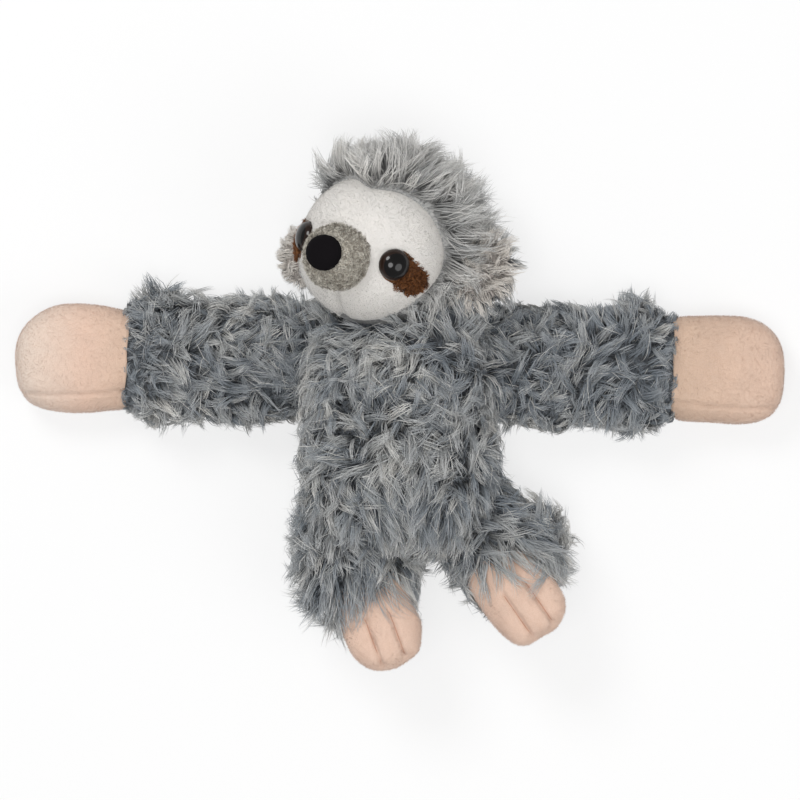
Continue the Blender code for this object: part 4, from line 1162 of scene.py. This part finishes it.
def face_place(azimuth, elevation):
    """A frame on the face's skin whose X axis points out of it."""
    way = head_direction(azimuth, elevation)
    across = unit(np.cross(UP, way))
    rise = np.cross(way, across)
    points = face_surface(np.array([unit(way + 0.03 * turn) for turn in (across, -across, rise, -rise)]))
    normal = unit(np.cross(points[0] - points[1], points[2] - points[3]))
    return Place(face_surface(way[None])[0], normal if normal @ way > 0.0 else -normal, UP)


def from_axis(place, points):
    """Distance from a frame's X axis."""
    return np.hypot(*place.inside(points)[:, 1:].T)


def make_muzzle():
    place = Place(face_surface(head_direction(0.0, -MUZZLE_DROP)[None])[0], FORWARD, UP)
    rows = [(-6.0 * MM, 0.0, 0.9 * MUZZLE_RADIUS, 0.9 * MUZZLE_RADIUS)]
    for share in np.sin(np.linspace(0.0, 0.5 * pi, 26)):
        here = share * MUZZLE_SHARES[-1][0]
        radius = MUZZLE_RADIUS * profile(MUZZLE_SHARES, here)[0, 0] - 0.9 * MM
        rows.append((here * MUZZLE_LENGTH, 0.0, radius * 1.04, radius * 0.98))
    rings = [*stack(place, rows, count=64), place.out((MUZZLE_LENGTH, 0.0, 0.0))]
    muzzle = loft("muzzle_plush", rings, MUZZLE_PLUSH)
    reshape(muzzle, lumps(0.25 * MM, 9.0 * MM, 14))
    fuzz = grow(
        "muzzle_fuzz", muzzle, MUZZLE_PILE, 51,
        lambda p, n: (place.inside(p)[:, 0] > -1.0 * MM) & (from_axis(place, p) > 4.5 * MM),
    )
    seat = Place(place.out((MUZZLE_LENGTH - NOSE_SEAT, 0.0, 0.0)), FORWARD, UP)
    rows = []
    for angle in np.linspace(-0.5, 0.5 * pi, 26)[:-1]:
        size = NOSE_RADIUS * cos(angle) ** 0.85
        rows.append((NOSE_HALF_HEIGHT * sin(angle), 0.0, size * 1.03, size * 0.98))
    poles = [seat.out((along * NOSE_HALF_HEIGHT, 0.0, 0.0)) for along in (-0.5, 1.0)]
    nose = loft("nose_button", [poles[0], *stack(seat, rows, count=64), poles[1]], NOSE_FLOCK)
    ride([muzzle, fuzz], "head", ("muzzle_cover", "muzzle_stuffing"))
    ride([nose], "head", ("nose",))


def make_eye(side, word):
    place = face_place(side * EYE_AZIMUTH, EYE_ELEVATION)
    seat = EYE_LIFT[side]
    rows = []
    for low, size in ((1.6 * MM, 0.8), (0.9 * MM, 0.97)):
        rows.append((seat - low, 0.0, size * EYE_RADIUS, size * EYE_RADIUS))
    for angle in np.linspace(0.0, 0.5 * pi, 20)[:-1]:
        rows.append((seat + EYE_HEIGHT * sin(angle), 0.0, EYE_RADIUS * cos(angle), EYE_RADIUS * cos(angle)))
    poles = [place.out((seat + along, 0.0, 0.0)) for along in (-1.6 * MM, EYE_HEIGHT)]
    eye = loft(f"{word}_eye_dome", [poles[0], *stack(place, rows), poles[1]], EYE_PUPIL)
    eye.data.materials.append(EYE_IRIS)
    far = from_axis(place, corners_of(eye)[0])
    for face in eye.data.polygons:
        face.material_index = int(far[list(face.vertices)].mean() > PUPIL_SHARE * EYE_RADIUS)
    ride([eye], "head", (f"{word}_eye",))

    outline = patch_outline(side)
    centre = outline.mean(axis=0)
    lifted, under = [], []
    for i, share in enumerate(np.linspace(0.0, 1.0, 12)):
        row = centre + (outline - centre) * share
        raised = PATCH_THICKNESS * sqrt(max(1.0 - (i / 11.0) ** 6, 0.0))
        lifted.append(on_face_skin(place, row, raised + 0.1 * MM))
        under.insert(0, on_face_skin(place, row, -0.6 * MM))
    patch = loft(f"{word}_patch_plush", [lifted[0][0], *lifted[1:], *under[:-1], under[-1][0]], BROWN_PLUSH)

    def beside_eye(points, normals):
        outer = side * place.inside(points)[:, 1] > 1.0 * MM
        return (normals @ place.axes[0] > 0.2) & (from_axis(place, points) > 4.6 * MM) & outer

    curls = grow(f"{word}_patch_fuzz", patch, PATCH_PILE, 60 + side, beside_eye)
    ride([patch, curls], "head", (f"{word}_eye_patch",))


def patch_outline(side):
    """A teardrop round the eye's seat that runs outward and down, as (across, up) points."""
    halves = []
    for start, centre, radius in (
        (0.5, PATCH_START, PATCH_HALF_WIDTH),
        (-0.5, PATCH_LENGTH, PATCH_TIP_RADIUS),
    ):
        angle = np.linspace(start * pi, (start + 1.0) * pi, 24)
        halves.append(np.stack([centre + radius * np.cos(angle), radius * np.sin(angle)], axis=1))
    out, up = np.concatenate(halves).T
    across = out * cos(PATCH_TURN) - up * sin(PATCH_TURN)
    return np.stack([side * across, out * sin(PATCH_TURN) + up * cos(PATCH_TURN)], axis=1)


def on_face_skin(place, flat, lift):
    """Points over the face's skin, straight above flat places in a frame on it."""
    ways = unit(place.out(np.column_stack([np.zeros(len(flat)), flat])) - FACE_CENTRE)
    return face_surface(ways) + ways * lift


def make_ear(side, word):
    """Two half shells, sewn at the rim: a front and a back."""
    out = head_direction(side * EAR_AZIMUTH, EAR_ELEVATION[side])
    place = Place(HEAD_CENTRE + EAR_OUT * out, out, unit(FORWARD - (FORWARD @ out) * out))
    for facing, part, material, fibre, slot in (
        (1, "front", EAR_BACKING, EAR_FIBRE, "ear_plush"),
        (-1, "back", GREY_BACKING, GREY_FIBRE, "grey_fur"),
    ):
        rings = [place.out((-EAR_REACH, 0.0, 0.0))]
        for angle in np.linspace(0.0, pi, 22)[1:-1]:
            half = EAR_HALF_HEIGHT[side] * sin(angle), EAR_HALF_DEPTH * sin(angle)
            local = place.inside(section(place, -EAR_REACH * cos(angle), 0.0, *half))
            local[:, 2] = facing * np.maximum(facing * local[:, 2], 0.0)
            rings.append(place.out(local))
        rings.append(place.out((EAR_REACH, 0.0, 0.0)))
        shell = loft(f"{word}_ear_{part}_coat", rings, material)
        pile = make_pile(fibre, EAR_FUR[side], gather=EAR_GATHER[side], **EAR_PILE)
        fur = grow(
            f"{word}_ear_{part}_fur", shell, pile, 70 + side + 5 * facing,
            lambda p, n: (facing * (n @ place.axes[2]) > 0.1) & (from_head(p) > FUR_RADIUS),
            lambda p, n: 1.8 * unit(p - place.origin + 0.6 * EAR_REACH * out),
        )
        ride([shell, fur], "head", (f"{word}_ear_{part}",))


def make_neck():
    """The stuffed plug that the head turns on, hidden between head and chest."""
    low, high = (np.array(corner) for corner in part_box("neck_stuffing"))
    half = 0.5 * (high - low)
    place = Place(0.5 * (low + high), DOWN)
    rows = []
    for angle in np.linspace(0.0, pi, 18)[1:-1]:
        size = sin(angle) ** 0.5
        rows.append((-half[1] * cos(angle), 0.0, half[0] * size, half[2] * size))
    poles = [place.out((along, 0.0, 0.0)) for along in (-half[1], half[1])]
    plug = loft("neck_plug", [poles[0], *stack(place, rows), poles[1]], GREY_BACKING)
    ride([plug], "neck", ("neck_stuffing",))


# Legs and feet


def limb_rings(place, length, half_width, half_depth, shares, inset, steps, count):
    """Rings of a limb with a blunt round end."""
    rows = []
    for angle in np.linspace(0.0, 0.5 * pi, steps)[:-1]:
        wide, deep = profile(shares, sin(angle))[:, 0]
        shrink = cos(angle) ** BLUNT_SHARE
        half = (wide * half_width - inset) * shrink, (deep * half_depth - inset) * shrink
        rows.append((sin(angle) * (length - inset), 0.0, *half))
    return [*stack(place, rows, BODY_POWER, count), place.out((length - inset, 0.0, 0.0))]


def make_leg(side, word):
    place, foot = LEG[side], FOOT[side]
    rings = limb_rings(place, LEG_LENGTH, LEG_HALF_WIDTH, LEG_HALF_DEPTH, LEG_SHARES, COAT_INSET, 34, 64)
    coat = loft(f"{word}_leg_coat", rings, GREY_BACKING)

    def along_and_across(points):
        """Distance down the leg, and distance across it as a share of its half width."""
        local = place.inside(points)
        return local[:, 0], local[:, 1] / LEG_HALF_WIDTH

    def upper_outer(points):
        """1 at the outer side of the toy's left leg, near the hip, and 0 away from it."""
        along, across = along_and_across(points)
        return smooth_step(0.1, 0.8, across) * smooth_step(36.0 * MM, 24.0 * MM, along) * (side > 0)

    def above_foot(points):
        """1 just above the foot, on the leg's end, and 0 away from it."""
        along, across, rise = foot.inside(points).T
        beside = smooth_step(1.5, 1.0, np.abs(across) / FOOT_HALF_WIDTH)
        over = beside * smooth_step(2.4, 1.5, rise / FOOT_HALF_DEPTH)
        return over * (rise > 0.0) * smooth_step(-8.0 * MM, 2.0 * MM, along)

    def comb(points, normals):
        """Along the leg, and over the foot at its end."""
        over_it = above_foot(points)[:, None]
        return 0.7 * place.axes[0] + 2.0 * over_it * foot.axes[0] + swirls(points, 220, 0.8)

    def over_foot(path, roots):
        """Fibres by the foot lie on it instead of running through it."""
        local = foot.inside(path)
        squash = np.stack([local[..., 1] / FOOT_HALF_WIDTH, local[..., 2] / FOOT_HALF_DEPTH], axis=-1)
        reach = np.linalg.norm(squash, axis=-1)
        inside = (reach < 1.1) & (local[..., 0] > 0.0) & (local[..., 0] < 0.9 * FOOT_LENGTH)
        local[..., 1:] *= np.where(inside, 1.1 / np.maximum(reach, 0.2), 1.0)[..., None]
        return foot.out(local)

    def by_place(points):
        """Longer over the foot, shorter by the hip and along both sides."""
        beside = smooth_step(0.5, 0.95, np.abs(along_and_across(points)[1]))
        return 1.0 - 0.45 * upper_outer(points) + 0.25 * above_foot(points) - 0.17 * beside

    def leg_shade(points):
        """Painted shade by the hip, darker and bluer where the leg meets the torso, with paler tips at the
        outer side.
        """
        along, across = along_and_across(points)
        outer = smooth_step(0.3, 0.9, across) * smooth_step(20.0 * MM, 40.0 * MM, along)
        hip = smooth_step(26.0 * MM, 8.0 * MM, along)
        return 0.18 * waves(points, SHADE_WAVE, 8) - 0.22 * hip + 0.2 * outer

    def pressed(points, normals):
        """Flat toward the torso and the other leg, and over the foot."""
        inner = smooth_step(0.2, 0.8, -side * normals[:, 0])
        return smooth_step(0.0, 0.6, normals[:, 1]) + 0.7 * inner + 0.5 * above_foot(points)

    reshape(coat, lumps(0.9 * MM, 20.0 * MM, 13))
    reshape(coat, lambda verts, normals: -3.0 * MM * normals * upper_outer(verts)[:, None])
    fur = grow(
        f"{word}_leg_fur", coat, LEG_PILE, 80 + side, lambda p, n: ~in_torso(p, 0.88) & ~in_foot(p, side),
        comb, over_foot, by_place, leg_shade, pressed,
    )
    ends = [place.out((HIP_FOLD[side] + step, 0.0, 0.0)) for step in (-HIP_ZONE, HIP_ZONE)]
    nodes = (f"{word}_leg_fur_cover", f"{word}_leg_stuffing")
    bend([coat, fur], nodes)


def make_foot(side, word):
    place = FOOT[side]
    rings = limb_rings(place, FOOT_LENGTH, FOOT_HALF_WIDTH, FOOT_HALF_DEPTH, FOOT_SHARES, 0.0, 48, 128)
    foot = loft(f"{word}_foot_plush", rings, PEACH_PLUSH)

    def toes(verts, normals):
        """Two stitched lines between three toes, over the top and round the front."""
        local = place.inside(verts)
        top = smooth_step(-0.2, 0.4, local[:, 2] / FOOT_HALF_DEPTH)
        start = smooth_step(0.36, 0.50, local[:, 0] / FOOT_LENGTH)
        dip = np.zeros(len(verts))
        for line, _ in TOE_LINES:
            off = local[:, 1] - line * FOOT_HALF_WIDTH / 3.0
            dip += 1.4 * hump(off, 0.8 * MM) + 0.8 * hump(off, 3.0 * MM)
        press = -MM * dip * top * start + 0.35 * MM * waves(verts, 12.0 * MM, 35 + side)
        return normals * press[:, None]

    reshape(foot, toes)
    point_values(foot.data, "tone", np.full(len(foot.data.vertices), FOOT_TONE))
    threads = []
    for line, part in TOE_LINES:
        middle = line * FOOT_HALF_WIDTH / 3.0
        angles = np.linspace(0.44, 1.36, 40)
        shares = np.sin(angles)
        wide, deep = profile(FOOT_SHARES, shares) * np.cos(angles) ** BLUNT_SHARE
        part_way = np.abs(middle) / (wide * FOOT_HALF_WIDTH)
        rise = (1.0 - np.minimum(part_way, 0.98) ** BODY_POWER) ** (1.0 / BODY_POWER)
        level = deep * FOOT_HALF_DEPTH * rise
        path = np.stack([shares * FOOT_LENGTH, np.full(40, middle), level - THREAD_SINK], axis=1)
        path[:, 0] -= THREAD_SINK * shares**8
        steps = np.gradient(path, axis=0)
        spots = [Place(place.out(at), step @ place.axes) for at, step in zip(path, steps)]
        rings = [section(spot, 0.0, 0.0, THREAD_RADIUS, THREAD_RADIUS, count=8) for spot in spots]
        threads.append(loft(f"{word}_foot_{part}_thread", rings, THREAD))
    velour = grow(
        f"{word}_foot_velour", foot, VELOUR, 150 + side, lambda p, n: place.inside(p)[:, 0] > 8.0 * MM
    )
    nodes = (f"{word}_foot_cover", f"{word}_foot_stuffing")
    ride([foot, velour, *threads], f"{word}_foot", nodes)


# Parts that stay as packed, inside the toy


def finish_inner_parts():
    looks = {"washer": WASHER_PLASTIC, "band_steel": BAND_STEEL, "band_sleeve": BAND_VINYL}
    for name, thing in frame["nodes"].items():
        for word, look in looks.items():
            if word in name:
                paint(thing, look)


# Stage

PHOTO_WIDTH = 301.6 * MM
CAMERA_DISTANCE = 4.0
MIDDLE_Z = 30.0 * MM
SENSOR = 36.0
FLOOR_SIZE = 3.0
FLOOR_WHITE = 0.82
FLOOR_GLOW_SHARE = 0.72
WHITE = (1.0, 1.0, 1.0, 1.0)
WORLD_LIGHT = 0.40
# Name, place, size and power
LAMPS = (
    ("key", (-0.55, 0.75, 1.1), 0.6, 8.6),
    ("fill", (0.9, -0.5, 1.0), 0.9, 5.5),
    ("top", (-0.1, -0.3, 1.7), 0.8, 10.2),
)


def make_stage():
    scene = bpy.context.scene
    camera_data = bpy.data.cameras.new("camera")
    camera_data.sensor_width = SENSOR
    camera_data.lens = SENSOR * CAMERA_DISTANCE / PHOTO_WIDTH
    scene.camera = add_object("camera", camera_data)
    scene.camera.location = (0.0, SHIFT[1], MIDDLE_Z + CAMERA_DISTANCE)

    floor_look = {"Base Color": (FLOOR_WHITE, FLOOR_WHITE, FLOOR_WHITE, 1.0), "Roughness": 0.9}
    material, tree, shader = new_material("floor", floor_look)
    seen = node(tree, "LightPath", "Is Camera Ray")
    rays = seen.node.outputs
    for name in ("Is Glossy Ray", "Is Transmission Ray"):
        seen = node(tree, "Math", "Value", {0: seen, 1: rays[name]}, operation="MAXIMUM")
    share = node(tree, "Math", "Value", {0: seen, 1: FLOOR_GLOW_SHARE}, operation="MULTIPLY")
    glow = node(tree, "Emission", "Emission", {"Color": WHITE, "Strength": 1.0})
    both = node(tree, "MixShader", "Shader", {0: share, 1: shader.outputs["BSDF"], 2: glow})
    tree.links.new(both, tree.nodes["Material Output"].inputs["Surface"])
    half = 0.5 * FLOOR_SIZE
    corners = [(-half, -half, 0.0), (half, -half, 0.0), (half, half, 0.0), (-half, half, 0.0)]
    mesh_object("floor", corners, [[0, 1, 2, 3]], material)

    for name, place, size, power in LAMPS:
        lamp = bpy.data.lights.new(name, "AREA")
        lamp.shape = "DISK"
        lamp.size = size
        lamp.energy = power
        thing = add_object(name, lamp)
        thing.location = place
        thing.rotation_euler = (-Vector(place)).to_track_quat("-Z", "Y").to_euler()
    scene.world = bpy.data.worlds.new("world")
    scene.world.use_nodes = True
    background = scene.world.node_tree.nodes["Background"]
    background.inputs["Color"].default_value = WHITE
    background.inputs["Strength"].default_value = WORLD_LIGHT
    scene.view_settings.view_transform = "Standard"


make_stage()
make_torso()
make_neck()
make_head()
make_muzzle()
for SIDE, WORD in SIDES:
    make_eye(SIDE, WORD)
    make_ear(SIDE, WORD)
    make_arm(SIDE, WORD)
    make_hand(SIDE, WORD)
    make_leg(SIDE, WORD)
    make_foot(SIDE, WORD)
finish_inner_parts()
